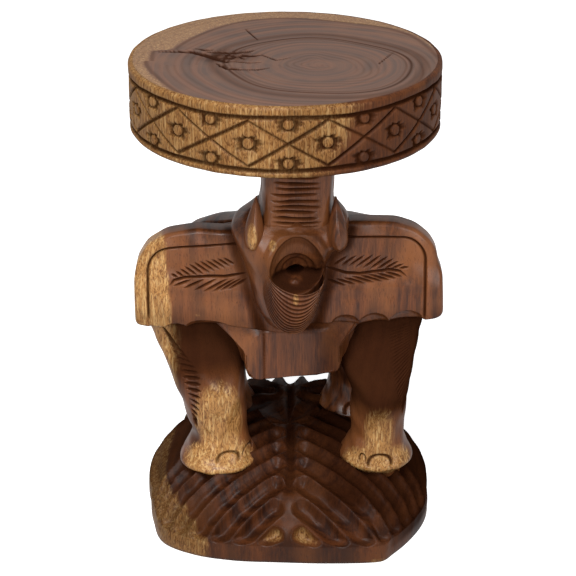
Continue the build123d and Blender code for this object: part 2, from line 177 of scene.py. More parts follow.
def tool_marks(points, depth, size):
    """Shallow unevenness left by hand tools: slow sines that cross one another."""
    x, y, z = np.moveaxis(points, -1, 0) * (2 * np.pi / size)
    first = np.sin(x + 0.4 * z + 1.1) * np.sin(0.8 * z - 0.5 * y)
    second = np.sin(0.7 * y + 0.3 * x + 2.0) * np.sin(1.3 * x - 0.6 * z + 0.4)
    return depth * (0.6 * first + 0.4 * second)


# ---- the log ----

# middle and radius of the log's dark heartwood at the floor, and how they change with each mm of height
HEART_MIDDLE = (47.0, -27.0)
HEART_LEAN = (-0.066, 0.062)
HEART_RADIUS = 171.0
HEART_TAPER = -0.033
TOP_HEART = (7.0, -17.0, 150.0)   # middle and radius of the heartwood on the seat's top
# places where a piece comes near the bark, and a painted sheen on the right ear: middle, half sizes and depth
# in the sapwood at the middle
PALE_PATCHES = {
    "left_tusk": (((-36, -106, 352), (6, 12, 16), 14),),
    "head": (((-16, -108, 345), (5, 8, 7), 14),),
    "lower_jaw": (((8, -126, 292), (3, 8, 7), 14),),
    "trunk": (((6, -100, 390), (34, 24, 60), -4),),
    "left_ear": (((-96, -70, 314), (46, 40, 22), -5), ((-95, -70, 250), (34, 40, 14), -1)),
    # painted sheen: this lighter patch on the right ear's upper field stands for its sheen
    "right_ear": (((100, -66, 322), (52, 40, 24), -1),),
    "front_left_leg": (
        ((-75, -84, 122), (33, 26, 52), 13),
        ((-77, -84, 81), (46, 34, 19), 15),
        ((-126, -26, 190), (15, 44, 70), 16),
    ),
    "front_right_leg": (((97, -88, 106), (24, 22, 42), 11), ((96, -84, 77), (42, 32, 17), 13)),
    "base": (((99, -160, 2), (46, 16, 9), 6),),
    "seat": (((120, -110, 470), (80, 60, 60), 0),),
}
PATCH_FADE = 14.0        # how much shallower a patch is at its half sizes
BASE_HEART_WIDER = 9.0   # the heartwood's radius is this much more at the base


def sapwood(points, node):
    """How far each point lies in the pale sapwood, in millimetres: its distance from the heartwood's
    leaning axis less the heartwood's radius, or its depth in a pale patch if that is more."""
    x, y, z = np.moveaxis(points, -1, 0)
    middle_x, middle_y = HEART_MIDDLE[0] + HEART_LEAN[0] * z, HEART_MIDDLE[1] + HEART_LEAN[1] * z
    pale = np.hypot(x - middle_x, y - middle_y) - HEART_RADIUS - HEART_TAPER * z
    if node == "base":
        pale -= BASE_HEART_WIDER
    for middle, half, depth in PALE_PATCHES.get(node, ()):
        share = np.linalg.norm((points - np.array(middle)) / np.array(half), axis=-1)
        pale = np.maximum(pale, depth - PATCH_FADE * share)
    return pale


# ---- meshes ----


def closed_faces(rows, columns):
    """Quads of a grid whose rows are closed rings, and a fan of triangles at each end."""
    ring = np.arange(rows * columns).reshape(rows, columns)
    after = np.roll(ring, -1, axis=1)
    quads = np.stack([ring[:-1], after[:-1], after[1:], ring[1:]], -1).reshape(-1, 4)
    first, last = np.full(columns, rows * columns), np.full(columns, rows * columns + 1)
    fans = [np.stack([first, after[0], ring[0]], -1), np.stack([last, ring[-1], after[-1]], -1)]
    return quads, np.concatenate(fans)


def enclosed(points, quads, fans):
    """Six times the volume inside the faces: the sum of each triangle's box product."""
    corners = np.concatenate([quads[:, [0, 1, 2]], quads[:, [0, 2, 3]], fans])
    a, b, c = (points[corners[:, k]] for k in range(3))
    return np.einsum("ij,ij->", a, np.cross(b, c))


def carve(name, node, finish, look, grid, stain=None, sap=None):
    """A closed piece from a grid of points in millimetres, rows of closed rings: its ends are closed by
    fans, and its faces are turned outwards by the sign of the volume that they enclose. Two attributes
    go to the wood. stain: where dark polish settles in the cuts, together with painted shade in
    the cuts, under the ears, in the mouth and on the mound (above 1 it is painted deep shadow). sap:
    how far a point is in the sapwood."""
    rows, columns = grid.shape[:2]
    points = np.concatenate([grid.reshape(-1, 3), grid[:1].mean(1), grid[-1:].mean(1)])
    quads, fans = closed_faces(rows, columns)
    if enclosed(points, quads, fans) < 0:
        quads, fans = quads[:, ::-1], fans[:, ::-1]
    mesh = bpy.data.meshes.new(name)
    mesh.from_pydata((points * MM).tolist(), [], quads.tolist() + fans.tolist())
    mesh.shade_smooth()
    stained, pale = np.zeros(len(points)), sapwood(points, node)
    for numbers, given in ((stained, stain), (pale, sap)):
        if given is not None:
            numbers[:-2] = np.broadcast_to(given, (rows, columns)).reshape(-1)
    for key, values in (("stain", stained), ("sap", pale)):
        mesh.attributes.new(key, "FLOAT", "POINT").data.foreach_set("value", values.astype(np.float32))
    mesh.materials.append(finished_wood(finish, look))
    made = bpy.data.objects.new(name, mesh)
    bpy.context.scene.collection.objects.link(made)
    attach(made, "root")
    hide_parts(node)
    return made


# ---- wood ----


class Wire:
    """A shader socket on which Python's arithmetic adds Math nodes."""

    def __init__(self, recipe, node, output=0):
        self.recipe, self.node, self.socket = recipe, node, node.outputs[output]

    def of(self, output):
        """Another output of the same node."""
        return Wire(self.recipe, self.node, output)

    def maths(self, operation, *values):
        """A Math node on numbers and links."""
        return self.recipe.add("ShaderNodeMath", {"operation": operation}, dict(enumerate(values)))

    def __add__(self, other):
        return self.maths("ADD", self, other)

    def __sub__(self, other):
        return self.maths("SUBTRACT", self, other)

    def __rsub__(self, other):
        return self.maths("SUBTRACT", other, self)

    def __mul__(self, other):
        return self.maths("MULTIPLY", self, other)

    def __truediv__(self, other):
        return self.maths("DIVIDE", self, other)

    def __pow__(self, other):
        return self.maths("POWER", self, other)

    __radd__, __rmul__ = __add__, __mul__

    def between(self, low, high):
        """0 below low, 1 above high and a straight ramp between them."""
        ramp = {0: self, 1: low, 2: high, 3: 0.0, 4: 1.0}
        return self.recipe.add("ShaderNodeMapRange", {"clamp": True}, ramp)


class Recipe:
    """The node tree of a material or of the world, and the one way in which nodes are added to it."""

    def __init__(self, made, shader):
        made.use_nodes = True
        self.material, self.tree = made, made.node_tree
        self.shader = self.tree.nodes[shader]

    def add(self, kind, settings, sockets, output=0):
        """Adds a node: its settings first, then the values or links of its sockets."""
        node = self.tree.nodes.new(kind)
        for key, value in settings.items():
            setattr(node, key, value)
        self.set(node, sockets)
        return Wire(self, node, output)

    def set(self, node, sockets):
        """Gives each socket a value, or a link."""
        for key, value in sockets.items():
            if isinstance(value, Wire):
                self.tree.links.new(value.socket, node.inputs[key])
            else:
                node.inputs[key].default_value = value

    def finish(self, sockets):
        """Gives the shader's own sockets their values and links."""
        self.set(self.shader, sockets)

    def blend(self, share, first, second, kind="MIX"):
        """A colour between two others."""
        settings = {"data_type": "RGBA", "blend_type": kind}
        return self.add("ShaderNodeMix", settings, {0: share, 6: first, 7: second}, 2)

    def noise(self, place, stretch, scale, detail=2.0, curl=0.0):
        """Soft noise on coordinates that are stretched along each axis first."""
        stretched = self.add("ShaderNodeVectorMath", {"operation": "MULTIPLY"}, {0: place, 1: stretch})
        sockets = {"Vector": stretched, "Scale": scale, "Detail": detail, "Distortion": curl}
        return self.add("ShaderNodeTexNoise", {}, sockets)

    def attribute(self, name):
        """A number that the mesh carries at each point."""
        return self.add("ShaderNodeAttribute", {"attribute_name": name}, {}, "Fac")

    def plainly_seen(self):
        """1 for camera, mirror and clear rays, which see the plain background, and 0 for all others."""
        path = self.add("ShaderNodeLightPath", {}, {}, "Is Camera Ray")
        mirrored = path.maths("MAXIMUM", path, path.of("Is Glossy Ray"))
        return path.maths("MAXIMUM", mirrored, path.of("Is Transmission Ray"))


def colour(shade):
    """A colour property as the four numbers of a socket."""
    return (*shade, 1.0)


PITH = (30.0, -30.0)            # the middle of the growth rings
RING_SCALE, RING_DETAIL = 0.11, 3.0
RING_WANDER = 34.0              # how far slow noise moves a ring
EDGE_WANDER, EDGE_FRAY = 14.0, 5.0   # how far slow noise and streaks move the sapwood's edge
NEAR_SAP = -34.0                # from here to the sapwood the heartwood turns lighter
# the wood's textures: stretch along each axis, scale, detail and distortion
TEXTURES = {
    "slow": ((1, 1, 0.3), 11.0, 2.0, 0.0),
    "streak": ((1, 1, 0.07), 430.0, 3.0, 0.6),
    "curl": ((1, 1, 0.3), 330.0, 2.0, 2.2),
    "pore": ((1, 1, 0.09), 1300.0, 1.0, 0.4),
    "cloud": ((1, 1, 0.5), 24.0, 3.0, 0.0),
}
BUMP_STRENGTH, BUMP_HEIGHT = 0.4, 0.0006   # the height in metres
# how each finish differs: share of ring figure, cloudiness, painted grey sheen, darkening (on the mound
# partly painted shade under the seat and body, and partly darker wood), roughness and shine
FINISHES = {
    "rim": (0.35, 1.0, 0.0, 0.5, 0.4, 0.2),
    "top": (0.95, 0.5, 0.42, 0.2, 0.5, 0.3),
    "figure": (0.55, 1.0, 0.0, 0.0, 0.3, 0.4),
    "mound": (0.55, 0.5, 0.0, 0.65, 0.34, 0.25),
}


def wood(name, settings, ring_share, clouds, grey_sheen, darkening, roughness, shine):
    """One log's wood. Rings run round the pith, at a distance warped by slow noise, and fine streaks and
    pores run along the trunk. The heartwood is dark, and pale sapwood begins where the mesh's sap
    number, shaken by noise, passes zero. The stain number darkens what the gouge cut, with
    settled polish and painted shade, and above 1 it paints deep shadow."""
    recipe = Recipe(bpy.data.materials.new(name), "Principled BSDF")
    place = recipe.add("ShaderNodeTexCoord", {}, {}, "Object")
    split = recipe.add("ShaderNodeSeparateXYZ", {}, {0: place})
    sideways = (split.of("X") / MM - PITH[0]) ** 2.0
    forwards = (split.of("Y") / MM - PITH[1]) ** 2.0
    slow, streak, curl, pore, cloud = (recipe.noise(place, *texture) for texture in TEXTURES.values())
    pore = pore.between(0.6, 0.7)
    from_pith = (sideways + forwards) ** 0.5 + (slow - 0.5) * RING_WANDER * clouds
    rings = {"W": from_pith, "Scale": RING_SCALE, "Detail": RING_DETAIL}
    ring = recipe.add("ShaderNodeTexNoise", {"noise_dimensions": "1D"}, rings)
    figure = ring * ring_share + streak * (1.0 - ring_share)
    heart = recipe.blend(figure.between(0.38, 0.64), colour(settings.heart_dark), colour(settings.heart))
    heart = recipe.blend(cloud.between(0.48, 0.72) * 0.85 * clouds, heart, colour(settings.heart_light))
    sap = recipe.blend(curl.between(0.36, 0.58), colour(settings.sap_dark), colour(settings.sap))
    sap = recipe.blend(streak.between(0.5, 0.7) * 0.8, sap, colour(settings.sap_light))
    sapwood_depth = recipe.attribute("sap")
    edge = sapwood_depth + (slow - 0.5) * EDGE_WANDER + (streak - 0.5) * EDGE_FRAY
    near_sap = sapwood_depth.between(NEAR_SAP, 0.0) * 0.6
    heart = recipe.blend(near_sap * cloud.between(0.3, 0.6), heart, colour(settings.heart_light))
    tone = recipe.blend(edge.between(-1.5, 2.5), heart, sap)
    tone = recipe.blend(pore * 0.5, tone, colour(settings.heart_dark))
    # a grey sheen painted over the seat top's colour
    if grey_sheen:
        tone = recipe.blend(grey_sheen, tone, colour(settings.top_sheen_grey))
    # settled polish and painted shade: the stain number blends to the stain colour, and above 1 it multiplies
    # in a painted deep shadow
    stain, shadow = recipe.attribute("stain"), colour(settings.shadow)
    tone = recipe.blend(stain.between(0.0, 1.0) * 0.93, tone, colour(settings.stain))
    tone = recipe.blend(stain.between(1.0, 2.0) * 0.9, tone, shadow, "MULTIPLY")
    # darkening: the tone is multiplied by the shadow tint; on the mound this is partly painted shade under
    # the seat and body, and partly darker wood
    if darkening:
        tone = recipe.blend(darkening, tone, shadow, "MULTIPLY")
    relief = {"Strength": BUMP_STRENGTH, "Distance": BUMP_HEIGHT, "Height": curl - pore * 0.6}
    recipe.finish({
        "Base Color": tone,
        "Roughness": streak * 0.2 + (roughness - 0.1),
        "Specular IOR Level": 0.0,
        "Coat Roughness": roughness,
        "Coat Weight": (1.0 - stain.between(0.0, 0.8)) * shine,
        "Normal": recipe.add("ShaderNodeBump", {}, relief),
    })
    return recipe.material


def finished_wood(finish, settings):
    """The wood in one of its finishes, made once."""
    name = "log_wood_" + finish
    return bpy.data.materials.get(name) or wood(name, settings, *FINISHES[finish])


# ---- seat ----

RIM_COLUMNS, RIM_ROWS = 1000, 74
TOP_COLUMNS, TOP_ROWS = 560, 104
EDGE_ROWS = 6
LATTICE_REPEATS = 13
LATTICE_TOP, LATTICE_FOOT = 494.0, 448.0
RISING_WIDTH = 1.4                            # of the groove that climbs to the right, as a share
FALLING_WIDTH, FALLING_DEPTH = 0.95, 0.8      # of the groove that crosses it
BAND_TOP, BAND_FOOT = 496.5, 444.0
BAND_WAVES = ((BAND_TOP, 0.8), (BAND_FOOT, 0.5))   # how far each band's groove wavers
BAND_WIDTH, BAND_DEPTH = 1.7, 1.2             # of a band's groove, as shares of the lattice's
FLOWER_DEPTH, FLOWER_REACH = 3.0, 7.0
FLOWER_RAYS = (-47.0, 227.0)                  # degrees of the fine lines beside a flower's foot
RAY_START, RAY_END = 1.0, 7.5                 # from the boss
RAY_WIDTH = 1.8                               # and their depth
# radius of the boss and raggedness of the whole flowers, and of those above and below the crossings
WHOLE_FLOWER, UPPER_FLOWER, LOWER_FLOWER = (5.4, 0.35), (5.0, 0.25), (5.0, 0.3)
UPPER_DROP, LOWER_RISE = 3.5, 3.0             # from the lattice's top and foot to those flowers
RIM_INSIDE = 5.0        # the rim piece takes this much of the flat top with it
RIM_UNDER = 40.0        # and this much of the underside, before one ring near the middle
RIM_DARKENING, RIM_DARKENING_HALF = 0.22, 0.5         # darkening in front, and half its angle
SEAT_SETBACK = 0.2      # of the turned seat inside the solid's radius
SEAT_SWELL = 3.4        # the seat reaches this much further at its back left
SEAT_SWELL_TOWARDS = math.radians(148)


def seat_reach(angle, settings):
    """The seat's radius at a plan angle: a circle pushed to one side by a cosine."""
    return SEAT_RADIUS - SEAT_SETBACK + settings.swell / MM * np.cos(angle - SEAT_SWELL_TOWARDS)


def flower(across, up, boss, ragged):
    """Depth of a carved flower at a place measured from its middle: a round boss stands between two
    ragged leaves cut beside it. Each is deepest at the boss and slopes up outwards to the reach
    1.2 + 7 |cos turn|^1.3 (1 + s), where s is two sines. Two fine lines run down and outwards."""
    away, turn = np.hypot(across, up), np.arctan2(up, across)
    spiky = 1 + ragged * np.sin(7 * turn + 0.6) + 0.6 * ragged * np.sin(15 * turn + 2)
    reach = 1.2 + FLOWER_REACH * np.abs(np.cos(turn)) ** 1.3 * spiky
    leaf = np.clip(1 - (away - boss) / reach, 0, 1) ** 0.8
    cut = FLOWER_DEPTH * leaf * step(boss - 0.5, boss + 0.5, away)
    places = np.stack(np.broadcast_arrays(across, up), -1)
    for degrees in FLOWER_RAYS:
        ray = np.array([math.cos(math.radians(degrees)), math.sin(math.radians(degrees))])
        path = [ray * (boss + RAY_START), ray * (boss + RAY_END)]
        cut = np.maximum(cut, gouged(places, path, RAY_WIDTH, RAY_WIDTH, 0.5))
    return cut


def rim_carving(angle, z, settings):
    """Depth of the rim's carving: two level grooves, a lattice of crossed grooves between them, 1 - t^2
    across, a flower in each diamond and smaller ones in the triangles above and below the crossings."""
    pitch = 2 * np.pi / LATTICE_REPEATS
    wander = 0.5 * np.sin(5 * angle + 1) + 0.3 * np.sin(11 * angle)
    repeat = (angle - FRONT) / pitch + 0.012 * np.sin(3 * angle + 2)
    from_crossing = repeat - np.round(repeat)
    from_flower = repeat - np.floor(repeat) - 0.5
    arc = SEAT_RADIUS * pitch
    rise = LATTICE_TOP - LATTICE_FOOT
    middle = (LATTICE_TOP + LATTICE_FOOT) / 2 + wander
    slant = math.cos(math.atan2(rise, arc))
    climb = rise * from_crossing
    half = settings.groove_width / MM / 2
    depth = settings.groove_depth / MM
    within = step(BAND_FOOT - 1, BAND_FOOT + 1, z) * step(BAND_TOP + 1, BAND_TOP - 1, z)
    rising, falling = (np.abs(z - middle - way * climb) * slant / half for way in (1, -1))
    weaker = FALLING_DEPTH - FALLING_DEPTH * (falling / FALLING_WIDTH) ** 2
    lattice = np.maximum(1 - (rising / RISING_WIDTH) ** 2, weaker)
    cut = within * depth * np.clip(lattice, 0, 1)
    for level, wave in BAND_WAVES:
        away = z - level - wave * np.sin(7 * angle + level)
        cut = np.maximum(cut, BAND_DEPTH * depth * np.clip(1 - (away / (half * BAND_WIDTH)) ** 2, 0, 1))
    whole = flower(from_flower * arc, z - middle, *WHOLE_FLOWER)
    above = flower(from_crossing * arc, z - (LATTICE_TOP - UPPER_DROP), *UPPER_FLOWER)
    below = flower(from_crossing * arc, z - (LATTICE_FOOT + LOWER_RISE), *LOWER_FLOWER)
    return np.maximum(cut, within * np.maximum(whole, np.maximum(above, below)))


def seat_rim(settings, look):
    """The seat's side: rings up a profile with round edges, pushed in by the carving."""
    low, high = SEAT_LOW[2], SEAT_HIGH[2]
    corner = settings.edge_round / MM
    near, far = quarter_round(corner, EDGE_ROWS)
    wall = np.linspace(low + corner, high - corner, RIM_ROWS)[1:-1]
    inset = [SEAT_RADIUS * 0.9, RIM_UNDER, *near, *(0 * wall), *far, RIM_INSIDE, RIM_INSIDE + 1]
    level = [low, low, *(low + far), *wall, *(high - near), high, high - RIM_INSIDE]
    inset, level = np.array(inset), np.array(level)
    angles = turns(RIM_COLUMNS)
    cut = rim_carving(angles[None, :], level[:, None], settings) * (inset < corner * 0.5)[:, None]
    radius = seat_reach(angles, settings)[None, :] - inset[:, None] - cut
    grid = level_rings(radius, angles, level)
    on_wall = (inset < corner)[:, None]
    grid[..., :2] *= 1 + on_wall[..., None] * (tool_marks(grid, 0.5, 34.0) / SEAT_RADIUS)[..., None]
    darkening = RIM_DARKENING * swell(angles, FRONT, RIM_DARKENING_HALF)[None, :] * on_wall
    stain = np.clip(cut / 2.5 + darkening, 0, 0.9)
    return carve("seat_rim", "seat", "rim", look, grid, stain)


# cracks in the seat's top: route over it, width and depth
CRACKS = (
    (((-133, 14), (-112, 15), (-98, 14), (-88, 8), (-80, 2), (-74, -4), (-66, -14), (-60, -22)), 9.0, 6.0),
    (((-84, 16), (-71, 15), (-57, 13), (-44, 15), (-34, 20)), 6.5, 4.0),
    (((-70, -2), (-57, -4), (-46, 4), (-36, 2), (-26, 6)), 6.5, 4.0),
    (((-72, -22), (-66, -34), (-60, -42), (-47, -44), (-30, -44), (-17, -38)), 5.5, 3.4),
    (((-68, -14), (-52, -16), (-40, -22), (-24, -20)), 4.5, 2.6),
    (((-96, 24), (-86, 20), (-76, 22)), 4.0, 2.6),
    (((-62, 8), (-52, 2), (-44, -8)), 4.0, 2.6),
    (((-46, 4), (-26, 4), (-12, -14), (3, -6)), 2.8, 1.4),
    (((-46, 95), (-31, 53)), 2.6, 1.2),
    (((89, -30), (108, 13)), 1.8, 1.2),
)
# raised flakes beside them: middle, half sizes and height
FLAKES = (
    ((-92, 22), 14, 5, 1.6), ((-68, 4), 12, 7, 2.4), ((-52, -3), 10, 6, 2.6), ((-44, 9), 9, 5, 1.8),
    ((-56, -40), 12, 6, 1.6), ((-40, -50), 9, 5, 1.2),
)
FLAKE_LIMIT = 0.2                    # no flake stands further above the seat
DARK_RING = (30.0, -29.0, 91.0)      # middle and radius of the darkest growth ring
# lines of that ring and beside it: distance from it, half width and darkness
RING_LINES = ((0, 2.6, 0.7), (-5, 2, 0.35), (12, 9, 0.35))
POCKET = (-64.0, 0.0, 44.0, 26.0)    # middle and half sizes of the dark sunken wood round the cracks
POCKET_DEPTH = 1.8
TONGUE_OF_SAP = 21.0                 # how far a tongue of sapwood runs into the seat's top
# degrees round the heartwood where the tongue starts, is full, is last full and ends
TONGUE_TURN = (112, 158, 162, 168)
TOP_SETBACK = 0.03                   # of the top piece below the solid's top


def seat_top(settings, look):
    """The seat's flat top: rings on a disc, with cracks, and flakes that stand up in the sunken pocket
    where bark was."""
    high = SEAT_HIGH[2] - TOP_SETBACK
    angles = turns(TOP_COLUMNS)
    share = np.concatenate([np.linspace(0.006, 1, TOP_ROWS), [1, 0.5]])
    level = np.concatenate([np.full(TOP_ROWS, high), [high - RIM_INSIDE, high - RIM_INSIDE]])
    radius = share[:, None] * (seat_reach(angles, settings)[None, :] - RIM_INSIDE + 0.5)
    grid = level_rings(radius, angles, level)
    cut = np.zeros(radius.shape)
    for path, width, depth in CRACKS:
        cut = np.maximum(cut, gouged(grid[..., :2], path, width, depth, 0.2))
    raised = np.zeros(radius.shape)
    for middle, wide, deep, rise in FLAKES:
        away = np.linalg.norm((grid[..., :2] - np.array(middle)) / np.array([wide, deep]), axis=-1)
        raised = np.maximum(raised, rise * swell(away, 0, 1))
    ragged = 0.6 + 0.4 * np.sin(grid[..., 0] * 0.9) * np.sin(grid[..., 1] * 1.1 + grid[..., 0] * 0.4)
    pocket = np.linalg.norm((grid[..., :2] - np.array(POCKET[:2])) / np.array(POCKET[2:]), axis=-1)
    sunken = POCKET_DEPTH * swell(pocket, 0, 1.2)
    top = (level > high - 1)[:, None]
    grid[..., 2] += top * np.minimum(raised * ragged - cut - sunken, FLAKE_LIMIT)
    turn = np.arctan2(grid[..., 1] - DARK_RING[1], grid[..., 0] - DARK_RING[0])
    wander = 5 * np.sin(2 * turn + 2.6) + 2 * np.sin(5 * turn)
    from_ring = np.hypot(grid[..., 0] - DARK_RING[0], grid[..., 1] - DARK_RING[1]) - DARK_RING[2] - wander
    lines = sum(dark * swell(from_ring, place, half) for place, half, dark in RING_LINES)
    faint = 0.1 + 0.1 * np.sin(1.3 * turn + 0.11 * from_ring)
    lines = lines + faint * np.sin(0.42 * from_ring + np.sin(3 * turn) + 0.8 * np.sin(5 * turn + 1)) ** 6
    lines = lines + 0.55 * swell(pocket, 0, 1.1) * (0.6 + 0.4 * ragged)
    from_heart = grid[..., :2] - np.array(TOP_HEART[:2])
    heart_turn = np.degrees(np.arctan2(from_heart[..., 1], from_heart[..., 0]))
    sap = np.hypot(from_heart[..., 0], from_heart[..., 1]) - TOP_HEART[2] + 3 * np.sin(heart_turn / 9)
    starts, full, last, ends = TONGUE_TURN
    sap += TONGUE_OF_SAP * step(starts, full, heart_turn) * step(ends, last, heart_turn)
    stain = np.clip(cut / 1.2 + raised * 0.1 + lines + 0.35 * swell(sap, -3, 4), 0, 1)
    return carve("seat_top", "seat", "top", look, grid, stain, sap)


# ---- trunk and tusks ----

TRUNK = (
    # z, x, y, half width, half depth, power
    (346, 8, -44, 46, 46, 3.2),
    (358, 8, -50, 41, 44, 4.2),
    (380, 9, -50, 37.5, 43, 5.0),
    (405, 10, -50, 37.0, 42.5, 5.5),
    (437, 10.5, -50, 37.0, 42.5, 5.5),
)
TRUNK_FOLDS = (427.5, 420.5, 413.0, 406.3, 400.5, 394.1, 387.1, 381.3, 376.0, 369.5, 364.3, 359.5)
FOLD_HALF_LENGTH = 25.0
TRUNK_FOOT, NECK, TRUNK_TOP = 346.0, 356.0, 437.0    # the foot is inside the head
TRUNK_FRONT = -70.0                                  # carved in front of this
TRUNK_CORNER = (10, 36, 5)    # middle, distance from it and half width of the worn front corners
# share of a tusk's height, and of its greatest width there
TUSK_GIRTH = (
    (0, 0.3), (0.07, 0.74), (0.18, 0.96), (0.3, 1), (0.5, 0.86), (0.75, 0.5), (0.93, 0.17), (1, 0.02),
)
TUSK_SHIFT, TUSK_LEAN, TUSK_BEND = 1.0, 3.5, 6.0     # outwards at the foot, inwards and back at the point
TUSK_RIDGE = 0.34             # how far the ridge in front stands out, as a share of the radius


def trunk(settings, look):
    """The raised trunk: level rings, nearly square with cut corners, and folds gouged across its front:
    each is a lens whose depth is (1 - s^4) along it and eases off below a sharp upper edge."""
    hidden = np.linspace(TRUNK_FOOT, NECK, 8, endpoint=False)
    levels = np.concatenate([hidden, np.linspace(NECK, TRUNK_TOP, 170)])
    grid = post(TRUNK, levels, turns(420, 0.45))
    x, y, z = np.moveaxis(grid, -1, 0)
    front = y < TRUNK_FRONT
    cut = np.zeros(x.shape)
    for number, level in enumerate(TRUNK_FOLDS):
        shift = 8 + 2.0 * math.sin(number * 2.1) + 0.03 * (level - 380)
        half = FOLD_HALF_LENGTH + 1.5 * math.sin(number * 1.3)
        along = np.clip(np.abs(x - shift) / half, 0, 1)
        line = level + 0.5 * np.sin(x * 0.11 + number)
        below = (line - z) / (0.6 + 3.0 * (1 - along**2) ** 0.5)
        profile = np.where(below < 0, np.clip(1 + below * 4, 0, 1), np.clip(1 - below, 0, 1) ** 1.2)
        cut = np.maximum(cut, settings.fold_depth / MM * (1 - along**4) * profile)
    cut = cut * front
    grid[..., 1] += cut
    middle, away, half = TRUNK_CORNER
    corner = swell(np.abs(x - middle), away, half) * front
    grid = pushed(grid, tool_marks(grid, 0.5, 26.0) - corner * 0.6)
    return carve("trunk", "trunk", "figure", look, grid, cut / 2.4)


def tusk(name, side, settings, look):
    """A tusk: rings up a leaning teardrop, whose section has a ridge in front."""
    low, high = node_box(name)
    foot = np.array([(low[0] + high[0]) / 2 + side * TUSK_SHIFT, (low[1] + high[1]) / 2, low[2]])
    length = settings.tusk_length / MM
    share = np.linspace(0, 1, 90)
    radius = through(TUSK_GIRTH, share)[:, 0] * settings.tusk_width / MM / 2
    angles = turns(96)
    ridge = 1 + TUSK_RIDGE * np.maximum(np.cos(angles - FRONT), 0) ** 7
    x = foot[0] - side * TUSK_LEAN * share[:, None] + radius[:, None] * np.cos(angles)
    y = foot[1] + TUSK_BEND * share[:, None] ** 2 + radius[:, None] * np.sin(angles) * ridge
    z = foot[2] + length * share[:, None] + 0 * x
    return carve(name, name, "figure", look, np.stack([x, y, z], -1))


# ---- head and jaw ----

HEAD = (
    # z, left edge, right edge, front, back
    (240, -12, 14, -92, -30),
    (246, -22, 20, -99, -20),
    (257, -30, 27, -105, -4),
    (272, -36, 33, -109, 0),
    (299, -42, 39, -110, 0),
    (314, -46, 41, -111, 0),
    (326, -51, 47, -111, 0),
    (338, -56, 57, -108, 0),
    (350, -58, 62, -102, -4),
    (362, -48, 60, -92, -10),
    (372, -34, 50, -80, -16),
)
MOUTH = (9.0, 313.0)
MOUTH_HALF_WIDTH = 28.0
MOUTH_RISE = 39.0        # above its middle
MOUTH_DROP = 22.0        # below its middle
HOLE_BOTTOM = -68.5      # the throat ends here, in front of the body inside
THROAT = (7.0, 311.5)
HOLE = (8.5, 5.5, 40.0)  # half width and half height of the throat, and its depth
HOLE_DROP = 3.0          # from the palate's middle to the hole's
PALATE = ((21, 18, 4.0), (14.5, 12, 1.2))   # the steps round the throat: outer and inner radius, depth
TONGUE = (1.0, -12.5, 9.0, 5.0, 6.0)        # place from the throat, half width, half height, thickness
LIP = 2.0                                   # how far it stands out round the mouth
BROW, MOUTH_EDGE = 2.2, 2.5                 # how deep the line across the brow and the edge are cut
BROW_PLACE = (8, 356, 34, 4)                # middle and half sizes
HEAD_MIDDLE_Y = -66.0


def mouth_share(x, z):
    """Distance from the mouth's middle as a share of the opening, which is round above and full below."""
    tall = np.where(z > MOUTH[1], MOUTH_RISE, MOUTH_DROP)
    return np.hypot((x - MOUTH[0]) / MOUTH_HALF_WIDTH, (z - MOUTH[1]) / tall)


def head(settings, look):
    """The face: level rings between its left and right edges, pushed back into a funnel-shaped mouth
    whose depth is 1 - share^1.5, and steeper and deeper over the floor. Its palate has two steps, with
    a round throat in the middle and a tongue below it."""
    levels = np.linspace(241, 371, 190)
    left, right, front, back = (column[:, None] for column in through(HEAD, levels).T)
    angles = turns(480, 0.66)
    across, towards = squared(angles, np.array([[2.3]]))
    deep = np.where(towards < 0, HEAD_MIDDLE_Y - front, back - HEAD_MIDDLE_Y)
    x = (left + right) / 2 + (right - left) / 2 * across
    y = HEAD_MIDDLE_Y + deep * towards
    z = levels[:, None] + 0 * x
    facing = towards < -0.1
    share = mouth_share(x, z)
    throat = np.hypot(x - THROAT[0], (z - THROAT[1]) * 1.05)
    floor = step(THROAT[1] + 2, THROAT[1] - 8, z)
    funnel = settings.mouth_depth / MM * np.clip(1 - share ** (1.5 + 3 * floor), 0, 1) * (1 + 0.7 * floor)
    palate = sum(depth * step(outer, inner, throat) for outer, inner, depth in PALATE) * (1 - floor)
    wide, tall, depth = HOLE
    away = np.hypot((x - THROAT[0]) / wide, (z - THROAT[1] + HOLE_DROP) / tall)
    hole = depth * np.clip(1.3 - away**2, 0, 1)
    across, up, wide, tall, thick = TONGUE
    tongue = thick * swell(np.hypot((x - THROAT[0] - across) / wide, (z - THROAT[1] - up) / tall), 0, 1)
    lip = LIP * swell(share, 1.12, 0.2) * step(-4, 10, z - MOUTH[1])
    brow_x, brow_z, wide, tall = BROW_PLACE
    brow = BROW * swell(z, brow_z, tall) * swell(x, brow_x, wide)
    edge = MOUTH_EDGE * step(1.0, 0.93, share) * (1 - floor)
    y = y + facing * (funnel + palate + hole + edge - tongue - lip + brow)
    y = np.where(facing, np.minimum(y, HOLE_BOTTOM), y)
    grid = np.stack([x, y, z], -1)
    grid = pushed(grid, tool_marks(grid, 0.7, 30.0) * (share > 1.1))
    # painted shade in the mouth: its opening, the edges of the palate's steps, the floor below the throat and
    # a band under the arch are darkened where shade falls, less on the tongue, and the hole goes above 1 into
    # painted deep shadow
    ring = np.maximum(swell(throat, 20, 2.5), swell(throat, 13.5, 2)) * (1 - floor)
    shadow = 0.4 * step(1.02, 0.85, share) + floor * step(1.1, 0.9, share) + hole / 12 + 0.4 * ring
    stain = facing * np.maximum(np.clip(shadow, 0, 1) * (1 - np.clip(tongue / 5, 0, 0.8)), hole > 6)
    stain = np.maximum(stain, 0.4 * facing * step(1.6, 1.1, share))
    stain = stain + 0.3 * facing * swell(share, 0.86, 0.16) * (1 - floor)
    stain += facing * np.clip(hole / 10, 0, 1.2)
    return carve("head", "head", "figure", look, grid, stain)


JAW_LINES = 12
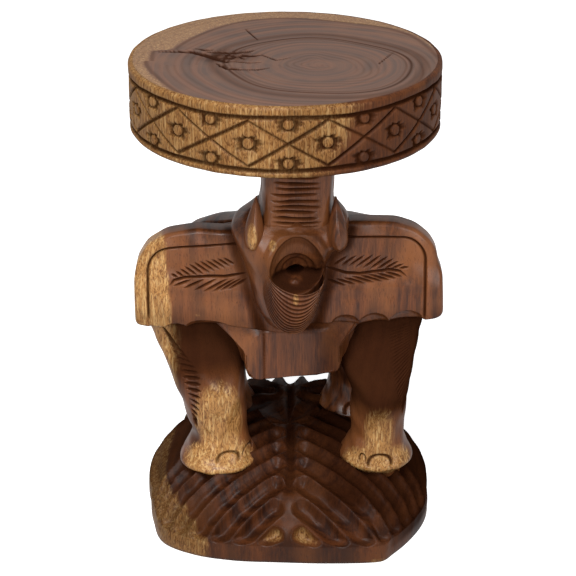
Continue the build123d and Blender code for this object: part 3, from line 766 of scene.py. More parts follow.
# x, y, z midway between the corners of the jaw's outer edge and of its lip, and half the width there
JAW_EDGE, JAW_HALF_WIDTH = (5.0, -97.0, 314.0), 32.0
JAW_LIP, LIP_HALF_WIDTH = (6.5, -103.0, 314.5), 29.5
# how far the middle of each is moved from there, and how much its right corner is raised
EDGE_CHIN, EDGE_TILT = (-2.0, -15.0, -66.0), -2.0
LIP_CHIN, LIP_TILT = (5.0, -19.0, -17.5), -2.5
JAW_BULGE = (6.0, 5.0)     # of the front between them: forwards, and down
MOUTH_FLOOR = (22.0, -15.0)    # back and down from the lip
JAW_UNDER = (16.0, 4.0)        # back and up from the outer edge


def lower_jaw(settings, look):
    """The lower jaw: a scoop between the corners of the mouth. Its front runs from a pointed U at its
    outer edge to the shallow arc of the lip, with fine grooves that follow both: the cut is the square
    of the sine of the share of the way between them. Behind the lip it turns in to the mouth's floor."""
    turn = np.linspace(0.03, np.pi - 0.03, 130)[:, None]
    side, drop = -np.cos(turn), np.sin(turn)
    share = np.linspace(0, 1, JAW_LINES * 9)[None, :]
    pointed = np.sign(side) * np.abs(side) ** 0.92
    curves = []
    for middle, chin, tilt, half in (
        (JAW_EDGE, EDGE_CHIN, EDGE_TILT, JAW_HALF_WIDTH * pointed),
        (JAW_LIP, LIP_CHIN, LIP_TILT, LIP_HALF_WIDTH * side),
    ):
        x, y, z = (place + moved * drop for place, moved in zip(middle, chin))
        curves.append(np.stack([x + half, y, z + tilt * side], -1))
    outer, lip = curves
    front = outer + (lip - outer) * share[..., None]
    front[..., 1] -= JAW_BULGE[0] * np.sin(np.pi * share) * drop
    front[..., 2] -= JAW_BULGE[1] * np.sin(np.pi * share) * (drop**4 - 0.4)
    cut = settings.line_depth / MM * np.sin(np.pi * JAW_LINES * share) ** 2 * np.clip(drop * 2, 0, 1)
    cut = cut * step(0.0, 0.05, share) * step(1.0, 0.96, share)
    front[..., 1] += cut
    back = np.linspace(0, 1, 26)[None, 1:, None]
    inner = lip + np.array([0, *MOUTH_FLOOR]) * np.concatenate([back, back**1.5, back**0.5], -1)
    under = outer + np.array([0, *JAW_UNDER])
    rest = np.concatenate([inner, (inner[:, -1:] + under) / 2, under], 1)
    grid = np.concatenate([front, rest], 1)
    # painted shade on the mouth's floor behind the lip, darker further back; the fine grooves darken by their
    # depth
    stain = np.concatenate([cut, 0.5 + 0.5 * back[..., 0] + 0 * turn, np.zeros((len(turn), 2))], 1)
    return carve("lower_jaw", "lower_jaw", "figure", look, grid, stain)


# ---- ears ----

# Each ear as x and z from in front. middle and outline: its fan of rings. border: middle of the rounded
# corner between the top and outer bands, counted outwards, its radius, and the top's slope. crease: the
# lower field is sunk inside it. spine: the feather's quill. upper and lower: how many strokes there are,
# and three points each that they start and end along. hollows: middle and half sizes. seam: a dark line
# where the ear meets the head, painted shade together with polish settled there.
EARS = {
    "left_ear": {
        "side": -1,
        "middle": (-92, 287),
        "outline": (
            (0, 343), (-95, 342), (-125, 335), (-146, 321), (-157, 303), (-160.5, 285), (-160.5, 233),
            (-130, 232), (-122, 236.5), (-110, 233), (-92, 238), (-64, 239), (0, 236),
        ),
        "border": (122, 306, 24, 0.145),
        "crease": 124,
        "spine": ((-124, 280), (-118, 287), (-106, 291), (-89, 293), (-66, 295), (-43, 300)),
        "upper": (11, ((-55, 308), (-81, 297), (-114, 290)), ((-67, 314), (-97, 307), (-121, 293))),
        "lower": (7, ((-43, 294), (-62, 293), (-100, 289)), ((-62, 282), (-88, 277), (-119, 281))),
        "hollows": ((-82, 236, 24, 9), (-114, 232, 9, 6)),
        "seam": ((-62, 350), (-53, 324), (-44, 292), (-27, 234)),
    },
    "right_ear": {
        "side": 1,
        "middle": (92, 292),
        "outline": (
            (0, 352), (70, 352), (112, 348), (132, 340), (147, 327), (155, 313), (156, 302), (161, 292),
            (163, 244), (158, 241), (107, 241), (72, 239), (30, 246), (0, 246),
        ),
        "border": (117, 312, 26, 0.083),
        "crease": 141,
        "spine": ((38, 307), (61, 299), (74, 297), (86, 298), (105, 299), (116, 296), (124, 290)),
        "upper": (10, ((47, 308), (80, 301), (115, 299)), ((62, 317), (100, 314), (125, 300))),
        "lower": (8, ((40, 294), (70, 295), (100, 297)), ((60, 286), (94, 287), (119, 290))),
        "hollows": ((59, 242, 15, 12), (89, 241, 16, 12), (123, 240, 18, 13)),
        "seam": ((66, 350), (60, 330), (45, 316), (42, 290), (37, 268), (28, 236)),
    },
}
EAR_COLUMNS, EAR_ROWS, EAR_BACK_ROWS = 600, 118, 12
EAR_ROUNDING = 22.0                    # of the outline's corners
EAR_ROOT_Y, EAR_TIP_Y, EAR_TIP_X = -84.0, -56.0, 162.0
EAR_LEAN, EAR_LEVEL = 0.1, 290.0       # backwards for each mm above this height
EAR_BULGE = (264, 46, 6.0)             # middle, half height, and how far forwards
FIELD_DEPTH, LOWER_FIELD_DEPTH = 2.0, 2.5
BORDER_GROOVE = (2.2, -0.5, 2.2)       # depth, place beside the border, half width
BORDER_SLOPE = 0.16                    # of the band, down to its outer edge
QUILL, STROKE = (3.2, 2.4), (2.9, 2.0)     # width and depth
SCOOP_DEPTH = 6.0
SEAM_WIDTH, SEAM_DARK = 17.0, 0.75
THROAT_ROOM = (3.0, 12, 15)            # behind the hole's bottom, and from full to nothing round it
FIGURE_X = 8.0                         # middle of the head


def strokes(count, starts, ends):
    """Gouge strokes side by side: they start along one curve and end along another, and each curve goes
    through three given points."""
    share = np.linspace(0, 1, count)
    first, last = (through([(0, *a), (0.5, *b), (1, *c)], share) for a, b, c in (starts, ends))
    return zip(first, last)


def ear(name, settings, look):
    """A spread ear: rings from the middle of its front out to its outline, round the edge and back to
    the middle behind. A band stands up along its top and outer edge, a feather is gouged across its
    middle, hollows are scooped from its lower edge, and inside the head it makes room for the throat."""
    shape = EARS[name]
    side, middle = shape["side"], np.array(shape["middle"], float)
    outline = rounded_outline(shape["outline"], EAR_ROUNDING, EAR_COLUMNS)
    edge, thick = settings.ear_edge / MM, settings.ear_thickness / MM
    near, far = (part[1:] for part in quarter_round(edge, EDGE_ROWS + 1))
    flat, hidden, round_edge = np.zeros(EAR_ROWS), np.zeros(EAR_BACK_ROWS), np.zeros(EDGE_ROWS)
    inset = np.concatenate([flat + edge, near, [0], far, hidden + edge])
    on_front = np.linspace(0.004, 1, EAR_ROWS)
    on_back = np.linspace(0.95, 0.01, EAR_BACK_ROWS)
    share = np.concatenate([on_front, np.ones(2 * EDGE_ROWS + 1), on_back])
    depth = np.concatenate([flat, far, [edge + 1], round_edge, hidden])
    tiny = 1e-6    # marks the rows of the back
    behind = np.concatenate([flat, round_edge, [0], near + tiny, hidden + tiny])
    reach = outline - middle
    length = np.linalg.norm(reach, axis=-1)
    shrink = 1 - inset[:, None] / length[None, :]
    place = middle + reach[None] * (share[:, None] * shrink)[..., None]
    x, z = place[..., 0], place[..., 1]
    outwards = (side * x - FIGURE_X) / (EAR_TIP_X - FIGURE_X)
    level, half, forwards = EAR_BULGE
    plane = EAR_ROOT_Y + (EAR_TIP_Y - EAR_ROOT_Y) * outwards + EAR_LEAN * (z - EAR_LEVEL)
    plane = plane - forwards * swell(z, level, half)
    corner_x, corner_z, radius, slope = shape["border"]
    over_x = side * x - corner_x
    over_z = z + slope * (side * x - 60) - corner_z
    past = np.hypot(np.maximum(over_x, 0), np.maximum(over_z, 0))
    past = past + np.minimum(np.maximum(over_x, over_z), 0) - radius
    sunk = FIELD_DEPTH * step(1.0, -2.5, past)
    groove_depth, beside, half = BORDER_GROOVE
    groove = groove_depth * swell(past, beside, half) * step(238, 252, z)
    bevel = BORDER_SLOPE * np.maximum(past - 2, 0)
    cut = gouged(place, shape["spine"], *QUILL, 0.15)
    for row in ("upper", "lower"):
        for start, end in strokes(*shape[row]):
            cut = np.maximum(cut, gouged(place, [start, end], *STROKE))
    scoop = np.zeros(x.shape)
    for hollow_x, hollow_z, wide, tall in shape["hollows"]:
        share_out = ((x - hollow_x) / wide) ** 2 + ((z - hollow_z) / tall) ** 2
        scoop = np.maximum(scoop, SCOOP_DEPTH * np.clip(1 - share_out, 0, 1) ** 0.6)
    inner = step(shape["crease"] + 3, shape["crease"] - 3, side * x)
    sunk = sunk + LOWER_FIELD_DEPTH * inner * step(282, 270, z)
    carved = sunk + groove + bevel + cut + scoop + tool_marks(np.stack([x, 0 * x, z], -1), 0.7, 38.0)
    spare, full, none = THROAT_ROOM
    from_hole = np.hypot(x - THROAT[0], z - THROAT[1] + HOLE_DROP)
    carved += (HOLE_BOTTOM + spare - plane) * step(none, full, from_hole)
    front = (behind == 0)[:, None]
    y = np.where(front, plane + carved + depth[:, None], plane + thick - behind[:, None])
    grid = np.stack([x, y, z], -1)
    # painted shade, with settled polish, in a dark line along the seam where the ear meets the head; the ear
    # is also darkened towards its lower edge
    seam = gouged(place, shape["seam"], SEAM_WIDTH, SEAM_DARK, 0.02)
    stain = front * np.clip((groove + cut) / 2.0 + seam + 0.25 * step(262, 240, z), 0, 1)
    return carve(name, name, "figure", look, grid, stain)


# ---- body and tail ----

BODY = (
    # y, x, z, half width, half height, power
    (-80, 5, 250, 50, 69, 12.0),
    (-68, 5, 250, 52, 70, 10.0),
    (-52, 5, 250, 58, 70, 6.0),
    (-36, 5, 250, 96, 71, 4.0),
    (-16, 4, 250, 118, 73, 3.6),
    (25, 4, 250, 127, 73, 3.6),
    (50, 3, 247, 127, 71, 3.5),
    (75, 2, 242, 121, 65.5, 3.2),
    (100, 1, 236, 106, 59, 2.8),
    (125, 0, 230, 78, 46, 2.4),
    (141, 0, 227, 32, 24, 2.1),
)
BACK_CRACKS = (
    (((-109, 30), (-99, 25), (-89, 18), (-79, 12), (-66, 8), (-50, 6)), 7.0),
    (((-92, 4), (-80, -6), (-62, -10)), 5.0),
)
BACK_CRACK_DEPTH, BACK_HEIGHT = 3.5, 280.0   # the cracks are only above this height
CHEST_ROWS, BODY_ROWS = 26, 120
CHEST_FRONT, CHEST_HIDDEN = -80.0, -60.0     # below the ears, and behind them
CHEST_SHARE, CHEST_EDGE = 0.98, 1.5          # flat share of the chest's size, and how far its edge runs back
BARREL_FRONT, BARREL_LENGTH = -76.0, 215.0
CHEST_SPREAD, CHEST_TILT = 0.62, 0.08        # how much wider it gets upwards, and how its edge climbs
LEFT_PLANE, RIGHT_PLANE = (-26, -44, 2.2), (12, 52, 1.6)           # on the chest: start, where full, depth
MIDDLE_PLANE, CHEST_CREASE = (-8, 15, 1.2), (-25, 2.5, 1.6)        # middle, half width, depth


def body(look):
    """The barrel: upright rings along the back, from the flat chest to the round rump, with the chest
    cut in upright planes and cracks along the top of the back."""
    bend = np.linspace(0, np.pi / 2, EDGE_ROWS)
    along = np.sin(np.linspace(0, np.pi / 2, BODY_ROWS)[1:])
    edge = CHEST_FRONT + CHEST_EDGE * (1 - np.cos(bend))
    places = np.concatenate([np.full(CHEST_ROWS, CHEST_FRONT), edge, BARREL_FRONT + BARREL_LENGTH * along])
    chest = np.linspace(0.02, CHEST_SHARE, CHEST_ROWS)
    rounding = CHEST_SHARE + (1 - CHEST_SHARE) * np.sin(bend)
    scale = np.concatenate([chest, rounding, np.ones(BODY_ROWS - 1)])[:, None]
    x, z, wide, tall, power = (column[:, None] for column in through(BODY, places).T)
    across, up = squared(turns(360, 0.0, 0.0), power)
    grid = np.stack([x + scale * wide * across, places[:, None] + 0 * across, z + scale * tall * up], -1)
    front = step(-44, -62, places)[:, None]
    spread = CHEST_SPREAD * step(208, 240, grid[..., 2]) ** 1.5
    grid[..., 0] += front * (grid[..., 0] - x) * spread
    grid[..., 2] += front * CHEST_TILT * (grid[..., 0] - x)
    behind_ears = CHEST_FRONT + (CHEST_HIDDEN - CHEST_FRONT) * step(232, 252, grid[..., 2])
    grid[..., 1] = np.maximum(grid[..., 1], behind_ears)
    side_x = grid[..., 0]
    (left, far_left, left_depth), (right, far_right, right_depth) = LEFT_PLANE, RIGHT_PLANE
    facet = left_depth * step(left, far_left, side_x)
    facet = facet + MIDDLE_PLANE[2] * swell(side_x, *MIDDLE_PLANE[:2])
    facet = facet + right_depth * step(right, far_right, side_x) ** 1.5
    crease = CHEST_CREASE[2] * swell(side_x, *CHEST_CREASE[:2])
    near = step(-70, -78, places)[:, None] * step(250, 232, grid[..., 2])
    grid[..., 1] += near * (facet + crease)
    high = grid[..., 2] > BACK_HEIGHT
    back = np.zeros(side_x.shape)
    for path, width in BACK_CRACKS:
        back = np.maximum(back, gouged(grid[..., :2], path, width, BACK_CRACK_DEPTH) * high)
    grid = pushed(grid, tool_marks(grid, 1.0, 44.0) - back)
    # painted shade on the right of the chest; the crease and the back's cracks darken by their depth
    dark = 0.6 * near * step(16, 46, grid[..., 0])
    stain = np.clip(near * crease / 2 + back / 1.5 + dark, 0, 1)
    return carve("body", "body", "figure", look, grid, stain)


TAIL = (
    # z, y, half width
    (176, 145, 3), (194, 146, 11), (212, 145, 6), (235, 143, 7), (260, 136, 7.5), (280, 121, 7),
    (296, 98, 4.5),
)
TUFT_TOP, TUFT_FADE, TUFT_DEPTH, TUFT_GROOVES = 42.0, 12.0, 1.2, 14


def tail(look):
    """The tail: level rings down the slope of the rump to a tuft with combed grooves, each cut by
    (1 + sin) / 2 across."""
    low, high = node_box("tail")
    middle_x = (low[0] + high[0]) / 2
    levels = np.linspace(low[2], high[2], 120)
    stations = [(z, middle_x, y, half, half, 2) for z, y, half in TAIL]
    angles = turns(120)
    grid = post(stations, levels, angles)
    tuft = step(low[2] + TUFT_TOP, low[2] + TUFT_TOP - TUFT_FADE, levels)[:, None]
    cut = tuft * TUFT_DEPTH * (0.5 + 0.5 * np.sin(TUFT_GROOVES * angles + levels[:, None] * 0.06))
    return carve("tail", "tail", "figure", look, pushed(grid, -cut), cut * 0.5)


# ---- legs ----

# a rear leg: height, how far outwards from the foot, y, half width, half depth, power
REAR_LEG = (
    (40, 0, 68, 30, 30, 2), (62, 0, 68, 31, 31, 2), (66, 0, 68, 35, 35, 2.1), (69, 0, 68, 39, 39, 2.1),
    (73, 0, 68, 40, 40, 2.1), (77, 0, 68, 38, 38, 2.1), (83, 0, 68, 35, 35, 2.1), (91, 0, 68, 32, 32, 2.1),
    (104, 0, 68, 29, 29, 2.1), (125, 1, 70, 31, 31, 2.2), (154, 3, 73, 36, 35, 2.2),
    (190, 5, 76, 43, 38, 2.3), (212, 6, 76, 43, 37, 2.3),
)


def rear_leg(foot_x, top_x):
    """The stations and nails of a rear leg: both legs are alike, each leaning out to its own side."""
    side = math.copysign(1, foot_x)
    stations = [(z, foot_x + side * out, *rest) for z, out, *rest in REAR_LEG]
    return {"stations": (*stations, (240, top_x, 74, 26, 26, 2.2)), "nails": ((foot_x, 78, 12, 10),)}


# Each leg from in front. stations: as in post. knee: middle and size of the swelling. shade: heights
# between which painted shade darkens the leg under the ear, over wood that is darker there. darkening:
# the whole leg is darkened by this much. hair: how many strokes, three points each that they start and
# end along, and their width. nails: middle and half sizes of each arc.
LEGS = {
    "front_left_leg": {
        "stations": (
            # z, x, y, half width, half depth, power
            (40, -76, -50, 31, 31, 2), (62, -76, -50, 32, 33, 2), (66, -76, -50, 36, 37, 2.1),
            (69, -76, -50.5, 41.5, 41, 2.1), (73, -76, -50.5, 42, 41.5, 2.1), (77, -76, -50, 40, 38.5, 2.1),
            (83, -76, -50, 37, 35, 2.1), (91, -75.5, -50, 34, 31.5, 2.1), (102, -74, -50, 30.5, 28, 2.1),
            (119, -76.5, -49, 31.5, 30, 2.2), (154, -82.5, -46, 36.5, 34, 2.3),
            (184, -88.5, -39, 42.5, 31, 2.4), (210, -95.5, -29, 47.5, 28, 2.4),
            (236, -98, -23, 49, 27, 2.4), (262, -84, -16, 24, 20, 2.2),
        ),
        "knee": (-64, -82, 158, 20),
        "shade": (146, 196),
        "hair": (17, ((-134, 226), (-112, 176), (-101, 128)), ((-122, 210), (-93, 176), (-98, 116)), 4.2),
        "nails": ((-64, 82, 13, 9), (-44, 84, 5, 6)),
    },
    "front_right_leg": {
        "stations": (
            (40, 96, -46, 29, 30, 2), (62, 96, -46, 30, 32, 2), (66, 96, -46, 34, 36, 2.1),
            (69, 96, -46, 39, 39.5, 2.1), (73, 96, -46, 39.5, 40, 2.1), (77, 96, -46, 38, 37.5, 2.1),
            (83, 96, -46.5, 35, 34, 2.1), (91, 96.5, -48, 32, 31, 2.1), (102, 97, -50, 28.5, 27, 2.1),
            (126, 97, -48, 30, 30, 2.2), (154, 99, -46, 31, 34, 2.3), (181, 95.5, -39, 39.5, 31, 2.4),
            (213, 99, -28, 42, 28, 2.4), (236, 99, -23, 43.5, 27, 2.4), (262, 86, -16, 24, 20, 2.2),
        ),
        "knee": (97, -84, 152, 18),
        "shade": (112, 166),
        "darkening": 0.22,
        "hair": (26, ((104, 224), (110, 180), (122, 128)), ((140, 230), (132, 196), (128, 146)), 2.4),
        "nails": ((99, 77, 14, 10), (80, 80, 4, 6)),
    },
    "rear_left_leg": rear_leg(-77, -74),
    "rear_right_leg": rear_leg(75, 73),
}
STEM_FOOT, STEM_TOP, ANKLE = 40.0, 58.0, 108.0    # the foot is between the last two
KNEE_RISE, NAIL_DEPTH, HAIR_DEPTH = 5.0, 2.2, 0.7    # the hair's is a share of its width
NAIL_ARC = (0.92, 0.2)       # middle and half width of the arc, as shares of the nail
SHADE_EDGE = (-132, -116)    # left of this the shade ends


def leg(name, look):
    """A leg: level rings up from a hidden stem, out round the foot, in to the ankle and up into the
    body. A front leg has a swollen knee and combed strokes of hair down its outer edge, and every leg
    has nails cut as arcs round the front of the foot."""
    shape = LEGS[name]
    top = max(station[0] for station in shape["stations"])
    stem, foot = np.linspace(STEM_FOOT, STEM_TOP, 4, False), np.linspace(STEM_TOP, ANKLE, 90, False)
    levels = np.concatenate([stem, foot, np.linspace(ANKLE, top, 150)])
    grid = post(shape["stations"], levels, turns(300, 0.35))
    x, z = grid[..., 0], grid[..., 2]
    facing = outward(grid)[..., 1] < 0.1
    place = np.stack([x, z], -1)
    cut = np.zeros(x.shape)
    if "hair" in shape:
        *rows, width = shape["hair"]
        for start, end in strokes(*rows):
            cut = np.maximum(cut, gouged(place, [start, end], width, width * HAIR_DEPTH, 0.35) * facing)
    raised = np.zeros(x.shape)
    if "knee" in shape:
        knee_x, knee_y, knee_z, size = shape["knee"]
        away = np.linalg.norm((grid - np.array([knee_x, knee_y, knee_z])) / np.array([1, 1.2, 1.3]), axis=-1)
        raised += KNEE_RISE * swell(away, 0, size * 1.4)
    groove = np.zeros(x.shape)
    for nail_x, nail_z, wide, tall in shape["nails"]:
        share_out = np.hypot((x - nail_x) / wide, (z - nail_z) / tall)
        arch = facing * step(nail_z - 4, nail_z + 1, z)
        groove = np.maximum(groove, NAIL_DEPTH * swell(share_out, *NAIL_ARC) * arch)
    grid = pushed(grid, raised - cut - groove + tool_marks(grid, 0.9, 30.0))
    x, z = grid[..., 0], grid[..., 2]
    # painted shade under the ear, over wood that is darker there; it ends at the sapwood on the left
    painted_shade_under_ear = step(*shape["shade"], z) * step(*SHADE_EDGE, x) if "shade" in shape else 0.0
    stain = np.clip(cut / 2 + groove / 2.5 + painted_shade_under_ear + shape.get("darkening", 0.0), 0, 1)
    return carve(name, name, "figure", look, grid, stain)


# ---- base ----

# the outline in front, with its two corners: plan angle in degrees, and distance from the middle
BASE_OUTLINE = (
    (-165, 157.5), (-151, 168), (-138, 180.5), (-125, 175.5), (-112, 166.5), (-93, 159), (-80, 163),
    (-68, 173), (-62, 180.5), (-57.5, 185.5), (-52, 181.5), (-43, 176), (-25, 167), (-13, 159),
)
BASE_COLUMNS, BASE_ROWS = 600, 148
BASE_WALL = 10.0
MOUND_SHOULDER, MOUND_BACK_SHOULDER = 3.0, 6.5
SPINE_X, SPINE_BACK, SPINE_FRONT = 3.0, 77.0, -128.0
SPINE_HALF, SPINE_BEND = 8.0, 3.0        # the spine bends this far left at the front
FLUTE_SLOPE = 0.83       # how far each flute comes forward for each mm outwards
FLUTE_PITCH = 29.0       # along the spine
FLUTE_FIRST = -158.0     # where the middle of the front pair would meet the spine
FLUTE_END = 12.0         # from the round outer end of a flute to the wall
END_RADIUS = 9.0         # of that end
THUMB, THUMB_RADIUS = 19.0, 10.0    # middle of a flute's inner end, from the spine
FLUTE_BACK_DEEPER = 0.65            # behind, than in front
FAN_NUMBER = 8           # how many flutes a side come before the fan
FAN_START, FAN_PITCH = math.radians(5.5), math.radians(31.06)


def base_reach(angle):
    """The outline as a distance from the middle: a circle behind, and corners in front."""
    half = (BASE_HIGH[0] - BASE_LOW[0]) / 2
    degrees = np.degrees(np.arctan2(np.sin(angle), np.cos(angle)))
    front = through(BASE_OUTLINE, degrees)[..., 0]
    inside = (degrees > BASE_OUTLINE[0][0]) & (degrees < BASE_OUTLINE[-1][0])
    return np.where(inside, front, half)


def fluting(x, y, to_wall):
    """Depth of the leaf's flutes and of its spine, as shares of their full depth, on the dome laid out
    flat. Each flute is a round channel, 1 - t^2 across, with round ends: a thumb beside the spine, and
    another above the wall. The channels run outwards and forwards, and fan out round the spine's back
    end. The front pair is given by itself as well."""
    out = np.abs(x - SPINE_X + SPINE_BEND * step(-60, -150, y))
    lean = math.atan(FLUTE_SLOPE)
    straight = (y + FLUTE_SLOPE * out - FLUTE_FIRST) / FLUTE_PITCH
    start_y = FLUTE_FIRST + FLUTE_PITCH * np.round(straight)
    along = out * math.cos(lean) + (start_y - y) * math.sin(lean)
    fan_back = y - SPINE_BACK
    turned = np.arctan2(fan_back, np.maximum(out, 1e-6)) + lean
    fan = FAN_NUMBER + np.maximum(turned - FAN_START, 0) / FAN_PITCH
    in_fan = fan_back > -FLUTE_SLOPE * out
    number = np.where(in_fan, fan, straight)
    across = 2 * (number - np.round(number))
    along = np.where(in_fan, np.hypot(out, fan_back), along)
    thumb = np.clip((THUMB - along) / THUMB_RADIUS, 0, 2)
    end = np.clip((FLUTE_END + END_RADIUS - to_wall) / END_RADIUS, 0, 2) * step(60, 20, y)
    flute = np.clip(1 - across**2 - thumb**2 - end**2, 0, 1) * (number > -0.5)
    front_pair = flute * (number < 0.5)
    spine = swell(out, 0, SPINE_HALF) * step(SPINE_FRONT, SPINE_FRONT + 14, y)
    return flute, spine * step(SPINE_BACK + 12, SPINE_BACK - 4, y), front_pair


def base(settings, look):
    """The leaf-shaped mound: rings from the floor up the narrow wall and over the dome,
    wall + rise sqrt(1 - share^shoulder), whose shoulder is 3 in front and 6.5 behind, with channels
    cut from a sunk spine to the edge."""
    rise = BASE_HIGH[2] - BASE_WALL
    angles = turns(BASE_COLUMNS)
    climb = np.linspace(0, np.pi / 2, BASE_ROWS)
    shoulder = MOUND_SHOULDER + (MOUND_BACK_SHOULDER - MOUND_SHOULDER) * step(0.1, 0.8, np.sin(angles))
    wall = np.repeat([[0.3], [0.97], [1], [1], [1]], len(angles), 1)
    share = np.concatenate([wall, np.cos(climb)[:, None] ** (2 / shoulder) * 0.995 + 0.005])
    level = np.concatenate([[0, 0, 1.5, 5, 8.5], BASE_WALL + rise * np.sin(climb)])
    reach = base_reach(angles)[None, :]
    steps = np.hypot(np.diff(share[4:] * reach, axis=0), np.diff(level[4:])[:, None])
    walked = np.concatenate([np.zeros((5, len(angles))), np.cumsum(steps, axis=0)])
    flat = walked[-1] - walked
    grid = level_rings(share * reach, angles, level)
    x, y = grid[..., 0], grid[..., 1]
    flute, spine, front_pair = fluting(flat * np.cos(angles), flat * np.sin(angles), walked)
    on_dome = step(BASE_WALL - 3, BASE_WALL + 5, level)[:, None]
    flute_depth = settings.flute_depth / MM + FLUTE_BACK_DEEPER * step(60, 110, y)
    depth = on_dome * (flute_depth * flute + settings.spine_depth / MM * spine)
    grid = pushed(grid, on_dome * tool_marks(grid, 0.8, 26.0) - depth)
    grid[..., 2] = np.maximum(grid[..., 2], 0)
    # painted shade: crest darkens the flutes' crests, and behind darkens the mound where it lies under the
    # body and seat. right and left darken those sides, the spine and the channels darken by their depth, and
    # the front pair stays lighter
    crest = 0.3 * step(0.35, 0.0, flute) * (flat < walked[-1] - FLUTE_END)
    right, behind, left = step(0, 70, x) * step(-160, -115, y), step(-90, 0, y), step(-70, -110, x)
    dark = 0.6 * right + 0.2 * behind + 0.25 * left + crest
    stain = np.clip(on_dome * (0.35 * spine + dark + 0.3 * flute), 0, 0.9) * (1 - 0.7 * front_pair)
    sap = np.maximum(sapwood(grid, "base"), np.where(front_pair > 0, 9 * front_pair - 5, -99))
    return carve("base", "base", "mound", look, grid, stain, sap)


# ---- stage ----

CAMERA_PLACE = (0.0, -1.7317, 1.0625)
CAMERA_TILT = math.radians(64.792)
CAMERA_LENS, CAMERA_SENSOR = 110.92, 36.0
LIGHT_AIM = (0, 0, 0.27)
# place and size in metres, and power in watts
LIGHTS = {
    "key": ((-0.9, -2.4, 1.45), 0.9, 44),
    "fill": ((1.7, -2.0, 1.0), 0.9, 24),
    "over": ((-0.2, -1.3, 2.6), 1.1, 62),
}
FLOOR_REACH = 6.0
WHITE, BLACK = (1, 1, 1, 1), (0, 0, 0, 1)


def soft_light(name, place, size, power):
    """A square area lamp that looks at the middle of the stool."""
    lamp = bpy.data.lights.new(name, "AREA")
    lamp.shape, lamp.size, lamp.energy = "SQUARE", size, power
    made = bpy.data.objects.new(name, lamp)
    bpy.context.scene.collection.objects.link(made)
    direction = np.array(place) - np.array(LIGHT_AIM)
    yaw = math.atan2(direction[0], -direction[1])
    tilt = math.atan2(math.hypot(direction[0], direction[1]), direction[2])
    made.location, made.rotation_euler = place, (tilt, 0, yaw)


def studio(scene, settings):
    """Even white light on the object, and a plain white world behind it."""
    scene.world = bpy.data.worlds.new("studio")
    recipe = Recipe(scene.world, "Background")
    recipe.finish({"Color": WHITE, "Strength": settings.ambient})
    white = recipe.add("ShaderNodeBackground", {}, {"Color": WHITE})
    sockets = {0: recipe.plainly_seen(), 1: Wire(recipe, recipe.shader), 2: white}
    recipe.set(recipe.tree.nodes["World Output"], {"Surface": recipe.add("ShaderNodeMixShader", {}, sockets)})


def floor(scene, settings):
    """A square floor that glows white to the camera, and otherwise throws back a soft warm grey."""
    mesh = bpy.data.meshes.new("floor")
    corners = [(x * FLOOR_REACH, y * FLOOR_REACH, 0) for x, y in ((-1, -1), (1, -1), (1, 1), (-1, 1))]
    mesh.from_pydata(corners, [], [(0, 1, 2, 3)])
    made = bpy.data.objects.new("floor", mesh)
    scene.collection.objects.link(made)
    recipe = Recipe(bpy.data.materials.new("floor"), "Principled BSDF")
    seen = recipe.plainly_seen()
    recipe.finish({
        "Base Color": recipe.blend(seen, colour(settings.bounce), colour(settings.floor)),
        "Roughness": 1.0,
        "Specular IOR Level": 0.0,
        "Emission Color": recipe.blend(seen, BLACK, WHITE),
        "Emission Strength": settings.floor_glow,
    })
    mesh.materials.append(recipe.material)


def camera(scene):
    """The camera, which looks down at the stool from in front."""
    made = bpy.data.objects.new("camera", bpy.data.cameras.new("camera"))
    scene.collection.objects.link(made)
    made.data.lens, made.data.sensor_width = CAMERA_LENS, CAMERA_SENSOR
    made.location, made.rotation_euler = CAMERA_PLACE, (CAMERA_TILT, 0, 0)
    scene.camera = made


# ---- settings ----


def length(name, description, default):
    """A size that the user can change, given in millimetres."""
    metres = default * MM
    return bpy.props.FloatProperty(name=name, description=description, default=metres, min=0, unit="LENGTH")


def shade(name, description, default):
    """A colour that the user can change."""
    kind = {"size": 3, "subtype": "COLOR", "min": 0, "max": 1}
    return bpy.props.FloatVectorProperty(name=name, description=description, default=default, **kind)


def strength(name, description, default):
    """A plain number that the user can change."""
    return bpy.props.FloatProperty(name=name, description=description, default=default, min=0)


class StoolSeat(bpy.types.PropertyGroup):
    swell: length("Swell", "How much further the seat reaches at its back left", SEAT_SWELL)
    edge_round: length("Edge round", "Radius of the seat's upper and lower edge", 4)
    groove_width: length("Groove width", "Width of the lattice's grooves", 3.4)
    groove_depth: length("Groove depth", "Depth of the lattice's grooves", 2.2)


class StoolFigure(bpy.types.PropertyGroup):
    fold_depth: length("Fold depth", "Depth of the folds across the trunk", 3.38)
    tusk_length: length("Tusk length", "Length of each tusk", 57)
    tusk_width: length("Tusk width", "Greatest width of each tusk", 20)
    mouth_depth: length("Mouth depth", "Depth of the mouth's funnel", 16)
    line_depth: length("Jaw line depth", "Depth of the fine grooves on the lower jaw", 1.0)
    ear_edge: length("Ear edge", "Radius of the ears' edges", 4)
    ear_thickness: length("Ear thickness", "Thickness of the ears", 26)


class StoolBase(bpy.types.PropertyGroup):
    flute_depth: length("Flute depth", "Depth of the leaf's channels in front", 9.425)
    spine_depth: length("Spine depth", "Depth of the leaf's sunk spine", 5)


